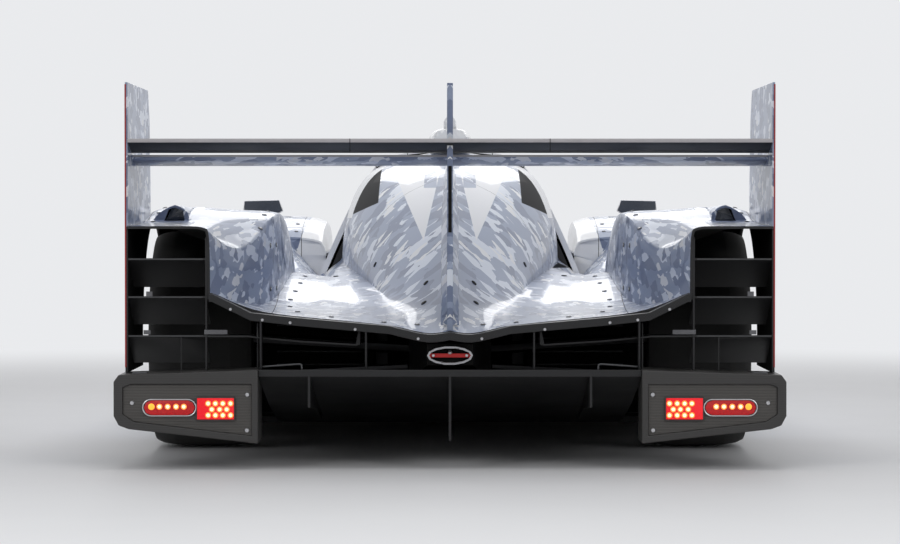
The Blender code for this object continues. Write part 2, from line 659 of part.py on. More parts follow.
# Floor, splitter and diffuser.
half_floor = [(FOOT_BOX_X, SPLITTER_REAR_Y - GAP), (FOOT_BOX_X, 1.250), (TUB_X, FLOOR_FRONT_Y),
              (WALL_X, FLOOR_FRONT_Y), (WALL_X, FLOOR_REAR_Y), (0.0, FLOOR_REAR_Y)]
plate("floor", [half_floor + [(-x, y) for x, y in reversed(half_floor[:-1])]], "XY",
      FLOOR_Z + FLOOR_T / 2, FLOOR_T, "carbon")
half_splitter = [(0.450, NOSE_Y), (0.760, 2.535), (0.900, 2.500), (0.955, 2.440), (WALL_X, 2.340),
                 (WALL_X, SPLITTER_REAR_Y)]
plate("splitter", [half_splitter + [(-x, y) for x, y in reversed(half_splitter)]],
      "XY", FLOOR_Z + (SPLITTER_TOP - FLOOR_Z) / 2, SPLITTER_TOP - FLOOR_Z, "carbon")

BAR_Y = -2.530
RAMP = [(FLOOR_REAR_Y - GAP, FLOOR_Z), (-1.600, 0.088), (-2.050, 0.168), (BAR_Y, BAR_LOW_Z)]
RAMP_TOP = [(BAR_Y, BAR_TOP_Z), (-2.050, 0.184), (-1.600, 0.103), (FLOOR_REAR_Y - GAP, FLOOR_TOP)]
diffuser = plate("diffuser", [RAMP + RAMP_TOP], "YZ", 0.0, 2 * (DIFFUSER_X - GAP), "carbon")
STRAKE_T = 0.008
for index, (x, low_z) in enumerate(((-0.420, 0.184), (0.0, 0.085), (0.420, 0.184))):
    foot = [(BAR_Y, low_z), (BAR_Y, BAR_LOW_Z + 0.008), (-2.050, 0.176), (-1.700, 0.112),
            (-1.700, 0.090), (-2.050, min(low_z, 0.150))]
    join(diffuser, plate("strake_%d" % index, [foot], "YZ", x, STRAKE_T, "carbon"))

# Engine and gearbox, each a plain mass at its real place.
ENGINE_REAR_Y = -0.900
box("engine", (-0.260, ENGINE_REAR_Y, FLOOR_TOP + GAP), (0.260, DOOR_REAR_Y - GAP, 0.620), "metal")
GearboxRow = namedtuple("GearboxRow", "y half_x low_z top_z")
GEARBOX_HALF_X = 0.130
GEARBOX_TABLE = [
    GearboxRow(ENGINE_REAR_Y - GAP, 0.220, 0.100, 0.480),
    GearboxRow(-1.100, GEARBOX_HALF_X, 0.150, 0.440),
    GearboxRow(-1.950, GEARBOX_HALF_X, 0.230, 0.400),
    GearboxRow(-2.460, 0.069, 0.306, 0.372),
]
loft("gearbox", [(row.y, [(-row.half_x, row.low_z), (row.half_x, row.low_z),
                          (row.half_x, row.top_z), (-row.half_x, row.top_z)])
                 for row in GEARBOX_TABLE], "metal")

# Tail: the lip under the engine cover's edge, its posts down to the diffuser's bar.
LIP_T = 0.024
LIP_STEP = 0.002            # below the engine cover's outer face
LIP_BACK_Y = -2.510
lip_top = [(x, z - LIP_STEP) for x, z in cover_outline(REAR_TABLE[-1])]
lip_low = [(x, z - LIP_T) for x, z in reversed(lip_top)]
LIP_FRONT_Y = PANEL_END_Y - GAP
tail_lip = plate("tail_lip", [lip_top + lip_low], "XZ", (LIP_BACK_Y + LIP_FRONT_Y) / 2,
                 LIP_FRONT_Y - LIP_BACK_Y, "carbon")
POST_HALF_T = 0.003
for side_name, side in SIDES:
    for x, top_z in ((0.251, 0.415), (0.565, 0.450)):
        join(tail_lip, box("lip_post_%s_%d" % (side_name, round(1000 * x)),
                           (side * x - POST_HALF_T, LIP_BACK_Y + 0.002, BAR_TOP_Z + GAP),
                           (side * x + POST_HALF_T, LIP_FRONT_Y, top_z), "carbon"))

# Louvres across each fender's open rear end, on a rib beside the fender's inner wall.
POD_TOP_IN_Z = 0.2965
POD_TOP_OUT_X, POD_TOP_OUT_Z = 0.985, 0.2825
LOUVRE_EDGES_Z = (0.628, 0.514, 0.397)
LOUVRE_DROP = 0.085
LOUVRE_RUN = 0.170
LOUVRE_T = 0.006
RIB_X = 0.732
RIB_T = 0.006
WINGLET_T = 0.005
WINGLET_LINE = [(RIB_X - 0.001, LOUVRE_EDGES_Z[-1] - 0.001), (0.604, 0.3955), (0.577, 0.3915),
                (0.449, 0.380), (0.283, 0.370)]
WINGLET_LIP = [(0.276, 0.406), (0.270, 0.406), (0.270, 0.368)]
WINGLET_RUN = 0.110
louvre_out_x = WALL_X - PANEL - GAP
RIB_TOP_Z = 0.690
PostRow = namedtuple("PostRow", "x run top_z")
POST_TABLE = [PostRow(0.578, 0.050, 0.433), PostRow(0.807, 0.008, LOUVRE_EDGES_Z[-1] - 0.006)]


def above_pod(x):
    """A height just clear of the lamp pod's top, for a foot that is a few mm thick."""
    across = (x - RIB_T / 2 - DIFFUSER_X) / (POD_TOP_OUT_X - DIFFUSER_X)
    return GAP + lerp(POD_TOP_IN_Z, POD_TOP_OUT_Z, across)


for side_name, side in SIDES:
    rib_foot_z = above_pod(RIB_X)
    rib = plate("louvres_" + side_name,
                [[(PANEL_END_Y, rib_foot_z), (PANEL_END_Y, RIB_TOP_Z),
                  (PANEL_END_Y + 0.010, RIB_TOP_Z), (PANEL_END_Y + 0.030, rib_foot_z)]],
                "YZ", side * RIB_X, RIB_T, "carbon")
    for index, z in enumerate(LOUVRE_EDGES_Z):
        blade = [(PANEL_END_Y, z), (PANEL_END_Y + LOUVRE_RUN, z - LOUVRE_DROP),
                 (PANEL_END_Y + LOUVRE_RUN, z - LOUVRE_DROP - LOUVRE_T),
                 (PANEL_END_Y, z - LOUVRE_T)]
        middle = (RIB_X + louvre_out_x) / 2
        join(rib, plate("louvre_%s_%d" % (side_name, index), [blade], "YZ", side * middle,
                        louvre_out_x - RIB_X, "carbon"))
    winglet = (WINGLET_LINE + WINGLET_LIP
               + [(x, z - WINGLET_T) for x, z in reversed(WINGLET_LINE)])
    join(rib, plate("winglet_" + side_name, [[(side * x, z) for x, z in winglet]], "XZ",
                    PANEL_END_Y + WINGLET_RUN / 2 + 0.001, WINGLET_RUN, "carbon"))
    for row in POST_TABLE:
        join(rib, box("post_%s_%d" % (side_name, round(1000 * row.x)),
                      (side * row.x - 0.002, PANEL_END_Y + 0.002, above_pod(row.x)),
                      (side * row.x + 0.002, PANEL_END_Y + row.run, row.top_z), "carbon"))

# Lamp pods at the tail, each with a recessed plate that carries an oval and a square lamp.
POD_FRONT_Y = -2.350
POD_OUTLINE = [(DIFFUSER_X, 0.078), (0.955, 0.121), (0.985, 0.132), (POD_X, 0.160),
               (POD_X, 0.262), (POD_TOP_OUT_X, POD_TOP_OUT_Z), (DIFFUSER_X, POD_TOP_IN_Z)]
POD_RECESS = [(0.590, 0.101), (0.940, 0.143), (0.973, 0.165), (0.973, 0.245), (0.950, 0.254),
              (0.590, 0.254)]
RECESS_DEPTH = 0.014
BOARD_T = 0.006             # the plate that carries the lamps
LAMP_OUT = 0.012            # the lamps' faces from the plate's back
LAMP_Z = 0.185
OVAL_LAMP = arc(0.888, LAMP_Z, 0.022, -90, 90, 5) + arc(0.780, LAMP_Z, 0.022, 90, 270, 5)
SQUARE_LAMP = [(0.642, 0.150), (0.752, 0.150), (0.752, 0.215), (0.642, 0.215)]
for side_name, side in SIDES:
    flipped = [(side * x, z) for x, z in POD_OUTLINE]
    pod = plate("lamp_pod_" + side_name, [flipped], "XZ", (TAIL_Y + POD_FRONT_Y) / 2,
                POD_FRONT_Y - TAIL_Y, "pod")
    recess = [(side * x, z) for x, z in POD_RECESS]
    cut(pod, plate("pod_recess_" + side_name, [recess], "XZ", TAIL_Y, 2 * RECESS_DEPTH, "pod"))
    inner = [(side * x, z) for x, z in inset(POD_RECESS, -GAP, closed=True)]
    back_y = TAIL_Y + RECESS_DEPTH - GAP
    lamps = plate("lamps_" + side_name, [inner], "XZ", back_y - BOARD_T / 2, BOARD_T, "lamp")
    for label, outline in (("oval", OVAL_LAMP), ("square", SQUARE_LAMP)):
        join(lamps, plate("lamp_%s_%s" % (label, side_name), [[(side * x, z) for x, z in outline]],
                          "XZ", back_y - LAMP_OUT / 2, LAMP_OUT, "red"))

# Fin, wing and endplates.
FlapShape = namedtuple("FlapShape", "nose_y nose_z tail_y tail_z belly thickness")
MAIN_PLANE = FlapShape(-2.020, 0.935, -2.335, 0.938, 0.026, 0.008)
FLAP = FlapShape(-2.315, 0.948, -2.455, 0.985, 0.008, 0.006)


def aerofoil(shape, grow=0.0):
    """An inverted section: a nearly flat top and a full belly, nose and tail blunt."""
    count = 7
    top, low = [], []
    for i in range(count + 1):
        u = i / count
        y = lerp(shape.nose_y + grow, shape.tail_y - grow, u)
        line_z = lerp(shape.nose_z, shape.tail_z, u)
        full = math.sqrt(max(math.sin(math.pi * min(u ** 0.8, 1.0)), 0.0))
        top.append((y, line_z + 0.25 * shape.thickness * full + 0.0015 + grow))
        low.append((y, line_z - shape.belly * full - 0.0015 - grow))
    return top + list(reversed(low))


WING_HALF = ENDPLATE_X - ENDPLATE_T / 2 - GAP
plate("wing_main", [aerofoil(MAIN_PLANE)], "YZ", 0.0, 2 * WING_HALF, "livery")
flap = plate("wing_flap", [aerofoil(FLAP)], "YZ", 0.0, 2 * WING_HALF, "carbon")
GURNEY_T = 0.004
GURNEY_H = 0.010
join(flap, box("gurney", (-WING_HALF, FLAP.tail_y - GURNEY_T, FLAP.tail_z - GURNEY_H),
               (WING_HALF, FLAP.tail_y + 0.001, FLAP.tail_z + 0.001), "metal"))

FIN_REAR_Y = -2.420
spine = [(row.y, row.spine_z + GAP) for row in REAR_TABLE if row.y <= -0.450]
fin = plate("fin", [spine + [(PANEL_END_Y, 0.600), (FIN_REAR_Y, 0.640), (FIN_REAR_Y, FIN_TOP),
                             (-1.350, FIN_TOP), (-0.800, FIN_TOP - 0.065)]], "YZ", 0.0, FIN_T,
            "livery")
FAIRING_HALF_X = 0.028
FAIRING_H = 0.070
fairing_rows = [row for row in REAR_TABLE if FIN_REAR_Y < row.y < -1.000]
fairing_rows.append(REAR_TABLE[-1]._replace(
    y=FIN_REAR_Y, spine_z=lerp(fairing_rows[-1].spine_z, REAR_TABLE[-1].spine_z, 0.8)))
fairing_rings = []
for index, row in enumerate(fairing_rows):
    half_x = lerp(0.6, 1.0, min(index / 2, 1)) * FAIRING_HALF_X
    foot_z = row.spine_z + GAP
    fairing_rings.append((row.y, [(-half_x, foot_z), (half_x, foot_z),
                                  (0.85 * half_x, foot_z + 0.5 * FAIRING_H),
                                  (0.5 * FIN_T, foot_z + FAIRING_H),
                                  (-0.5 * FIN_T, foot_z + FAIRING_H),
                                  (-0.85 * half_x, foot_z + 0.5 * FAIRING_H)]))
join(fin, loft("fin_fairing", fairing_rings, "livery"))
for label, shape in (("main", MAIN_PLANE), ("flap", FLAP)):
    cut(fin, plate("fin_slot_" + label, [aerofoil(shape, GAP)], "YZ", 0.0, 2 * FIN_T, "carbon"))
ENDPLATE_NOSE = 0.096       # height over which the top front corner is cut back
endplate_foot = [(row.y, row.crown_z + GAP) for row in REAR_TABLE
                 if row.y <= ENDPLATE_FRONT_Y + 0.030]
for side_name, side in SIDES:
    first_y, first_z = endplate_foot[0]
    outline = endplate_foot + [(PANEL_END_Y, ENDPLATE_TOP),
                               (ENDPLATE_FRONT_Y - 0.5 * ENDPLATE_NOSE, ENDPLATE_TOP),
                               (ENDPLATE_FRONT_Y, ENDPLATE_TOP - ENDPLATE_NOSE),
                               (first_y, lerp(first_z, ENDPLATE_TOP, 0.2))]
    plate("endplate_" + side_name, [outline], "YZ", side * ENDPLATE_X, ENDPLATE_T, "livery")

# Roof scoop, with its mouth forward.
ScoopRow = namedtuple("ScoopRow", "y half_x low_z top_z")
SCOOP_TABLE = [
    ScoopRow(0.100, 0.079, 1.001, 1.083),
    ScoopRow(-0.105, 0.079, 1.001, 1.083),
    ScoopRow(-0.450, 0.060, 0.990, 1.070),
]


def scoop_ring(row, inset_by=0.0):
    x, top = row.half_x - inset_by, row.top_z - inset_by
    low = row.low_z + inset_by
    return [(-x, low), (x, low), (x, top - 0.030), (0.75 * x, top - 0.008), (0.35 * x, top),
            (-0.35 * x, top), (-0.75 * x, top - 0.008), (-x, top - 0.030)]


scoop = loft("roof_scoop", [(row.y, scoop_ring(row)) for row in SCOOP_TABLE], "livery")
mouth_rows = [SCOOP_TABLE[0]._replace(y=0.150), SCOOP_TABLE[1]]
cut(scoop, loft("scoop_mouth", [(row.y, scoop_ring(row, 0.010)) for row in mouth_rows], "carbon"))
BUMP_TABLE = [
    ScoopRow(0.000, 0.018, 1.076, 1.096),
    ScoopRow(-0.120, 0.026, 1.072, 1.127),
    ScoopRow(-0.400, 0.020, 1.062, 1.118),
]
bump_rings = [(row.y, [(-row.half_x, row.low_z), (row.half_x, row.low_z),
                       (row.half_x, lerp(row.low_z, row.top_z, 0.7)), (0.5 * row.half_x, row.top_z),
                       (-0.5 * row.half_x, row.top_z),
                       (-row.half_x, lerp(row.low_z, row.top_z, 0.7))]) for row in BUMP_TABLE]
join(scoop, loft("scoop_bump", bump_rings, "livery"))

# Mirrors on short stalks above the front fenders.
MIRROR_Y = 1.200


def crown_at(y):
    """Height of a front fender's crown between its stations."""
    for first, second in zip(FRONT_TABLE, FRONT_TABLE[1:]):
        if first.y <= y <= second.y:
            return lerp(first.crown_z, second.crown_z, (y - first.y) / (second.y - first.y))


MIRROR = [(0.700, 0.772), (0.716, 0.762), (0.850, 0.762), (0.863, 0.776), (0.860, 0.812),
          (0.716, 0.816)]
MIRROR_X, MIRROR_Z = 0.782, 0.789
MIRROR_ROWS = [(MIRROR_Y - 0.050, 1.00), (MIRROR_Y + 0.020, 0.96), (MIRROR_Y + 0.070, 0.80),
               (MIRROR_Y + 0.110, 0.45)]     # y, and how much of the face's size is left
STALK_HALF_X, STALK_HALF_Y = 0.008, 0.020
stalk_foot_z = crown_at(MIRROR_Y + STALK_HALF_Y) + GAP
for side_name, side in SIDES:
    rings = [(y, [(lerp(MIRROR_X, x, share), lerp(MIRROR_Z, z, share)) for x, z in MIRROR])
             for y, share in MIRROR_ROWS]
    join(loft("mirror_" + side_name, rings, "carbon", side),
         box("mirror_stalk_" + side_name,
             (side * MIRROR_X - STALK_HALF_X, MIRROR_Y - STALK_HALF_Y, stalk_foot_z),
             (side * MIRROR_X + STALK_HALF_X, MIRROR_Y + STALK_HALF_Y, MIRROR_Z), "carbon"))

# Headlamps: a lens in each front fender, on the fender's own surface.
HEADLAMP = [(0.700, 2.300), (0.740, 2.215), (0.885, 2.170), (0.905, 2.235), (0.890, 2.375),
            (0.850, 2.415), (0.715, 2.405)]
LENS_T = 0.006
for side_name, side in SIDES:
    outlines = [("hole", inset(HEADLAMP, GAP, closed=True)), ("lens", HEADLAMP)]
    hole, lens_limit = [plate("headlamp_%s_%s" % (label, side_name),
                              [[(side * x, y) for x, y in outline]], "XY", 0.5, 0.7, "glass")
                        for label, outline in outlines]
    cut(bpy.data.objects["front_fender_" + side_name], hole)
    lens_rows = [(row.y, front_fender_outline(row)[3:-1]) for row in FRONT_TABLE if row.y > 1.9]
    lens = panel("headlamp_" + side_name, lens_rows, LENS_T, "glass", side)
    combine(lens, lens_limit, "INTERSECT")

# Wheels: a tyre on a rim, each turning about a hub.
RIM_T = 0.012
HUB_BORE_R = 0.030
STUB_R = HUB_BORE_R - 0.0009
HUB_SEGMENTS = 16


def tyre_profile(width):
    half = width / 2
    bead = half - 0.022
    half_profile = [(BEAD_R + GAP, bead), (0.280, half), (0.335, half - 0.008),
                    (TYRE_R, half - 0.050)]
    return [(r, -z) for r, z in half_profile] + list(reversed(half_profile))


def rim_profile(width):
    half = width / 2 - 0.012
    inner = BEAD_R - RIM_T
    return [(BEAD_R, half), (BEAD_R, -half), (inner, -half), (inner, half)]


def spoke_windows(inner_r, outer_r, web):
    windows = []
    for k in range(SPOKES):
        start, end = 360 * k / SPOKES, 360 * (k + 1) / SPOKES
        lean_out = math.degrees(web / 2 / outer_r)
        lean_in = math.degrees(web / 2 / inner_r)
        windows.append(arc(0, 0, outer_r, start + lean_out, end - lean_out, 2)
                       + arc(0, 0, inner_r, end - lean_in, start + lean_in, 2))
    return windows


WHEELS = []
for end_name, axle_y, width, out_x in (("front", FRONT_AXLE_Y, FRONT_TYRE_W, FRONT_TYRE_OUT),
                                       ("rear", REAR_AXLE_Y, REAR_TYRE_W, REAR_TYRE_OUT)):
    for side_name, side in SIDES:
        label = end_name + "_" + side_name
        centre = Vector((side * (out_x - width / 2), axle_y, TYRE_R))
        turned("tyre_" + label, tyre_profile(width), centre, "rubber")
        rim = turned("rim_" + label, rim_profile(width), centre, "rim")
        face_x = side * (out_x - 0.045)
        disc = arc(0, 0, BEAD_R - 0.5 * RIM_T, 0, 360 * (1 - 1 / WHEEL_SEGMENTS), WHEEL_SEGMENTS)
        bore = arc(0, 0, HUB_BORE_R, 0, 360 * (1 - 1 / HUB_SEGMENTS), HUB_SEGMENTS)
        star = plate("spokes_" + label,
                     [disc, bore] + spoke_windows(0.075, BEAD_R - RIM_T - 0.004, 0.020), "YZ", 0.0,
                     0.020, "rim")
        star.location = (face_x, axle_y, TYRE_R)
        join(rim, star)

# Front suspension: knuckles that steer between the ball joints of two wishbones, whose
# legs share a bracket on the side of the tub's foot box.
BALL_H = 0.056              # lifts the legs clear of the knuckle at full lock
BALL_R = 0.024
BALL_SEGMENTS = 10
LEG_R = 0.011
UPRIGHT_HALF_Y = 0.060
KNUCKLE_HALF_X = 0.028
KNUCKLE_LOW_Z, KNUCKLE_TOP_Z = 0.235, 0.475
BRACKET_T = 0.008
BRACKET_HALF_Y = 0.165
LEG_SPREAD = 0.150          # from the axle's line to each leg's inner end
STUB_SHORT = 0.030          # the stub's end, inside the tyre's outer face
for side_name, side in SIDES:
    x, y = side * KINGPIN_X, FRONT_AXLE_Y
    knuckle = box("knuckle_" + side_name,
                  (x - KNUCKLE_HALF_X, y - UPRIGHT_HALF_Y, KNUCKLE_LOW_Z),
                  (x + KNUCKLE_HALF_X, y + UPRIGHT_HALF_Y, KNUCKLE_TOP_Z), "metal")
    stub_end = side * (FRONT_TYRE_OUT - STUB_SHORT)
    join(knuckle, rod("stub_" + side_name, (x, y, TYRE_R), (stub_end, y, TYRE_R), STUB_R,
                      "metal", HUB_SEGMENTS))
    bracket_x = [side * (FOOT_BOX_X + GAP), side * (FOOT_BOX_X + BRACKET_T)]
    arms = box("front_suspension_" + side_name, (min(bracket_x), y - BRACKET_HALF_Y, 0.165),
               (max(bracket_x), y + BRACKET_HALF_Y, 0.420), "metal")
    for level, z_out, z_in in (("lower", KNUCKLE_LOW_Z - GAP - BALL_H / 2, 0.190),
                               ("upper", KNUCKLE_TOP_Z + GAP + BALL_H / 2, 0.395)):
        ball = rod("ball_%s_%s" % (level, side_name), (x, y, z_out - BALL_H / 2),
                   (x, y, z_out + BALL_H / 2), BALL_R, "metal", BALL_SEGMENTS)
        join(arms, ball)
        for tag, inner_y in (("a", y - LEG_SPREAD), ("b", y + LEG_SPREAD)):
            join(arms, rod("leg_%s_%s_%s" % (level, tag, side_name), (x, y, z_out),
                           (side * (FOOT_BOX_X + BRACKET_T - 0.002), inner_y, z_in), LEG_R,
                           "metal", LINK_SEGMENTS))

# Rear suspension: fixed uprights, wishbones and driveshafts from the gearbox.
REAR_UPRIGHT_X = 0.700
REAR_UPRIGHT_HALF_X = 0.030
LinkRow = namedtuple("LinkRow", "tag along z_out z_in radius")
REAR_LINKS = [
    LinkRow("lower_rear", -0.180, 0.235, 0.270, LEG_R),
    LinkRow("lower_front", 0.180, 0.235, 0.250, LEG_R),
    LinkRow("upper_rear", -0.180, 0.470, 0.385, LEG_R),
    LinkRow("upper_front", 0.180, 0.470, 0.400, LEG_R),
    LinkRow("driveshaft", 0.000, TYRE_R, 0.320, 0.020),
]
for side_name, side in SIDES:
    x, y = side * REAR_UPRIGHT_X, REAR_AXLE_Y
    upright = box("rear_suspension_" + side_name,
                  (x - REAR_UPRIGHT_HALF_X, y - UPRIGHT_HALF_Y, 0.215),
                  (x + REAR_UPRIGHT_HALF_X, y + UPRIGHT_HALF_Y, 0.495), "metal")
    stub_end = side * (REAR_TYRE_OUT - STUB_SHORT)
    join(upright, rod("rear_stub_" + side_name, (x, y, TYRE_R), (stub_end, y, TYRE_R), STUB_R,
                      "metal", HUB_SEGMENTS))
    for row in REAR_LINKS:
        join(upright, link("%s_%s" % (row.tag, side_name), (x, y, row.z_out),
                           (side * GEARBOX_HALF_X, y + row.along, row.z_in), row.radius, "metal"))

# Tow eye in its oval ring at the tail.
RING_Z = 0.337
RING_HALF = (0.069, 0.0285)
RING_T = 0.007
RING_DEPTH = 0.030
RING_BACK_Y = GEARBOX_TABLE[-1].y - GAP - RING_DEPTH


def ellipse(half_x, half_z, count=14):
    return [(half_x * x, RING_Z + half_z * z)
            for x, z in arc(0, 0, 1, 0, 360 * (1 - 1 / count), count)]


ring = plate("tow_eye", [ellipse(*RING_HALF), ellipse(*(size - RING_T for size in RING_HALF))],
             "XZ", RING_BACK_Y + RING_DEPTH / 2, RING_DEPTH, "metal")
BAR_HALF_X, BAR_HALF_Z = RING_HALF[0] - 0.5 * RING_T, 0.006
join(ring, box("tow_bar", (-BAR_HALF_X, RING_BACK_Y + 0.012, RING_Z - BAR_HALF_Z),
               (BAR_HALF_X, RING_BACK_Y + 0.024, RING_Z + BAR_HALF_Z), "red"))

# Inside the cockpit: the seat, from its back to its front edge, and the dashboard.
SEAT_HALF_X = 0.200
SEAT_FOOT_Z = 0.110 + GAP   # on the tub's floor
SeatRow = namedtuple("SeatRow", "y top_z")
SEAT_TABLE = [SeatRow(-0.045, 0.720), SeatRow(0.060, 0.640), SeatRow(0.120, 0.260),
              SeatRow(0.560, 0.220)]
loft("seat", [(row.y, [(-SEAT_HALF_X, SEAT_FOOT_Z), (SEAT_HALF_X, SEAT_FOOT_Z),
                       (SEAT_HALF_X, row.top_z), (-SEAT_HALF_X, row.top_z)])
              for row in SEAT_TABLE], "seat")
DASH_X = TUB_X - GAP - TUB_WALL - GAP
DASH_TOP_X = 0.380
DASH_REAR_Y, DASH_FRONT_Y = 0.860, 0.920
GRIP_REAR_Y, GRIP_FRONT_Y = 0.700, 0.735
GRIP_X = 0.140
dash = box("dashboard", (-DASH_X, DASH_REAR_Y, 0.430), (DASH_X, DASH_FRONT_Y, 0.498), "carbon")
join(dash, box("dash_top", (-DASH_TOP_X, DASH_REAR_Y + 0.005, 0.480),
               (DASH_TOP_X, DASH_FRONT_Y - 0.005, 0.570), "carbon"),
     box("steering_grip", (-GRIP_X, GRIP_REAR_Y, 0.450), (GRIP_X, GRIP_FRONT_Y, 0.560), "carbon"),
     rod("steering_column", (0, GRIP_REAR_Y + 0.020, 0.505), (0, DASH_REAR_Y + 0.020, 0.490),
         0.020, "carbon"))
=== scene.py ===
import math

import bmesh
import bpy
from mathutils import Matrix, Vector
from mathutils.bvhtree import BVHTree


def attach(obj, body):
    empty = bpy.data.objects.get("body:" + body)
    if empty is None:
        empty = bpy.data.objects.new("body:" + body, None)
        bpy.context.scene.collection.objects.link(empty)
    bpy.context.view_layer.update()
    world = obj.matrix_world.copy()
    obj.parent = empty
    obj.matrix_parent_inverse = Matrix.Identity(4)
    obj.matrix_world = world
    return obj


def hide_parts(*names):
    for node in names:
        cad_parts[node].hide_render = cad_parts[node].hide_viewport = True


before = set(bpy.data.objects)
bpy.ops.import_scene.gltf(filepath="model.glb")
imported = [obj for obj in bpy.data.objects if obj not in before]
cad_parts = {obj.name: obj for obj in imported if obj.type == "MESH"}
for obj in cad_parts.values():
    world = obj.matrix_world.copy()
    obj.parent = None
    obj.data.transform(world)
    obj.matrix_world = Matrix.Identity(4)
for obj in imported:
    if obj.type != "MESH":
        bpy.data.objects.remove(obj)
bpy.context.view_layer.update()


# The studio: a plain pale floor that fades into a pale backdrop, soft lamps above and
# behind, and the camera low behind the car, where the photograph was taken from.
class Socket:
    """One output of a material's nodes, with the sums that the materials need."""

    def __init__(self, tree, output=None):
        self.tree = tree
        self.output = output

    def node(self, kind, output=0, links=(), **settings):
        """Any other node: its settings first, then the values or links of its inputs."""
        made = self.tree.nodes.new("ShaderNode" + kind)
        for key, value in settings.items():
            setattr(made, key, value)
        for name, value in dict(links).items():
            if isinstance(value, Socket):
                self.tree.links.new(value.output, made.inputs[name])
            else:
                made.inputs[name].default_value = value
        return Socket(self.tree, made.outputs[output])

    def sum(self, operation, *values):
        return self.node("Math", operation=operation, links=enumerate(values))

    def __add__(self, other):
        return self.sum("ADD", self, other)

    def __sub__(self, other):
        return self.sum("SUBTRACT", self, other)

    def __rsub__(self, other):
        return self.sum("SUBTRACT", other, self)

    def __mul__(self, other):
        return self.sum("MULTIPLY", self, other)

    def __truediv__(self, other):
        return self.sum("DIVIDE", self, other)

    def __gt__(self, other):
        return self.sum("GREATER_THAN", self, other)

    def __lt__(self, other):
        return self.sum("LESS_THAN", self, other)

    def __abs__(self):
        return self.sum("ABSOLUTE", self)

    def axes(self):
        """The x, y and z of the object's own coordinates."""
        place = self.node("TexCoord", output="Object")
        return [self.node("SeparateXYZ", output=axis, links={"Vector": place})
                for axis in "XYZ"]


def tinted(start, factor, low, high):
    """A mix of two colours, each one a Socket or a written colour."""
    ends = [end if isinstance(end, Socket) else (*end, 1) for end in (low, high)]
    return start.node("Mix", output=2, data_type="RGBA", links={0: factor, 6: ends[0],
                                                                7: ends[1]})


def finish(name, recipe, *zones):
    """A material whose Principled inputs come from a recipe of values and Sockets."""
    made = bpy.data.materials.new(name)
    made.use_nodes = True
    tree = made.node_tree
    shader = tree.nodes["Principled BSDF"]
    for label, value in recipe(Socket(tree), *zones).items():
        if isinstance(value, Socket):
            tree.links.new(value.output, shader.inputs[label])
        else:
            shader.inputs[label].default_value = value
    return made


BACKDROP = (0.82, 0.83, 0.85)
FADE_FROM, FADE_TO = 2.4, 6.0     # metres from the car's middle


def floor_recipe(start):
    place = start.node("TexCoord", output="Object")
    grain = start.node("TexNoise", links={"Vector": place, "Scale": 3.0, "Detail": 3.0})
    return {"Base Color": tinted(start, grain, (0.78, 0.78, 0.79), (0.82, 0.82, 0.83)),
            "Roughness": 0.6, "Specular IOR Level": 0.2}


floor_mesh = bpy.data.meshes.new("studio_floor")
bm = bmesh.new()
bmesh.ops.create_grid(bm, x_segments=1, y_segments=1, size=60.0)
bm.to_mesh(floor_mesh)
bm.free()
studio_floor = bpy.data.objects.new("studio_floor", floor_mesh)
bpy.context.scene.collection.objects.link(studio_floor)
FLOOR = finish("studio_floor", floor_recipe)
floor_mesh.materials.append(FLOOR)
ground = Socket(FLOOR.node_tree)
east, north = ground.axes()[:2]
away = ground.sum("SQRT", east * east + north * north)
fade = ground.node("MapRange", interpolation_type="SMOOTHSTEP",
                   links={"Value": away, "From Min": FADE_FROM, "From Max": FADE_TO})
plain = ground.node("LightPath", output="Is Camera Ray")
glow = ground.node("Emission", links={"Color": (*BACKDROP, 1)})
lit = Socket(FLOOR.node_tree, FLOOR.node_tree.nodes["Principled BSDF"].outputs[0])
blend = ground.node("MixShader", links={0: fade * plain, 1: lit, 2: glow})
FLOOR.node_tree.links.new(blend.output, FLOOR.node_tree.nodes["Material Output"].inputs[0])

ROOM_LIGHT, ROOM_SHOWN = 0.42, 1.0     # as a lamp, and as seen or mirrored
world = bpy.data.worlds.new("studio")
bpy.context.scene.world = world
world.use_nodes = True
sky = Socket(world.node_tree)
seen = (sky.node("LightPath", output="Is Camera Ray")
        + sky.node("LightPath", output="Is Glossy Ray")
        + sky.node("LightPath", output="Is Transmission Ray")) > 0.5
background = world.node_tree.nodes["Background"]
background.inputs["Color"].default_value = (*BACKDROP, 1)
world.node_tree.links.new((seen * (ROOM_SHOWN - ROOM_LIGHT) + ROOM_LIGHT).output,
                          background.inputs["Strength"])

LAMPS = [
    # name, place, looks at, width, length, watts
    ("overhead", (0.0, -0.5, 4.2), (0.0, -0.5, 0.0), 3.0, 6.5, 95.0),
    ("behind_left", (-4.5, -7.0, 3.2), (0.0, -1.8, 0.5), 2.5, 2.5, 56.0),
    ("behind_right", (4.5, -7.0, 3.2), (0.0, -1.8, 0.5), 2.5, 2.5, 56.0),
    ("front", (0.0, 8.0, 3.5), (0.0, 1.0, 0.5), 4.0, 2.0, 60.0),
]
for name, place, target, width, length, watts in LAMPS:
    light = bpy.data.lights.new(name, "AREA")
    light.shape = "RECTANGLE"
    light.size, light.size_y = width, length
    light.energy = watts
    lamp = bpy.data.objects.new(name, light)
    bpy.context.scene.collection.objects.link(lamp)
    lamp.location = place
    lamp.rotation_euler = (Vector(target) - Vector(place)).to_track_quat("-Z", "Y").to_euler()

camera_data = bpy.data.cameras.new("camera")
camera_data.lens = 121.3
camera_data.sensor_width = 36.0
camera_data.clip_end = 200.0
camera = bpy.data.objects.new("camera", camera_data)
bpy.context.scene.collection.objects.link(camera)
camera.location = (0.0, -11.55, 0.766)
camera.rotation_euler = (math.radians(88.87), 0.0, 0.0)
bpy.context.scene.camera = camera
bpy.context.scene.view_settings.view_transform = "Standard"


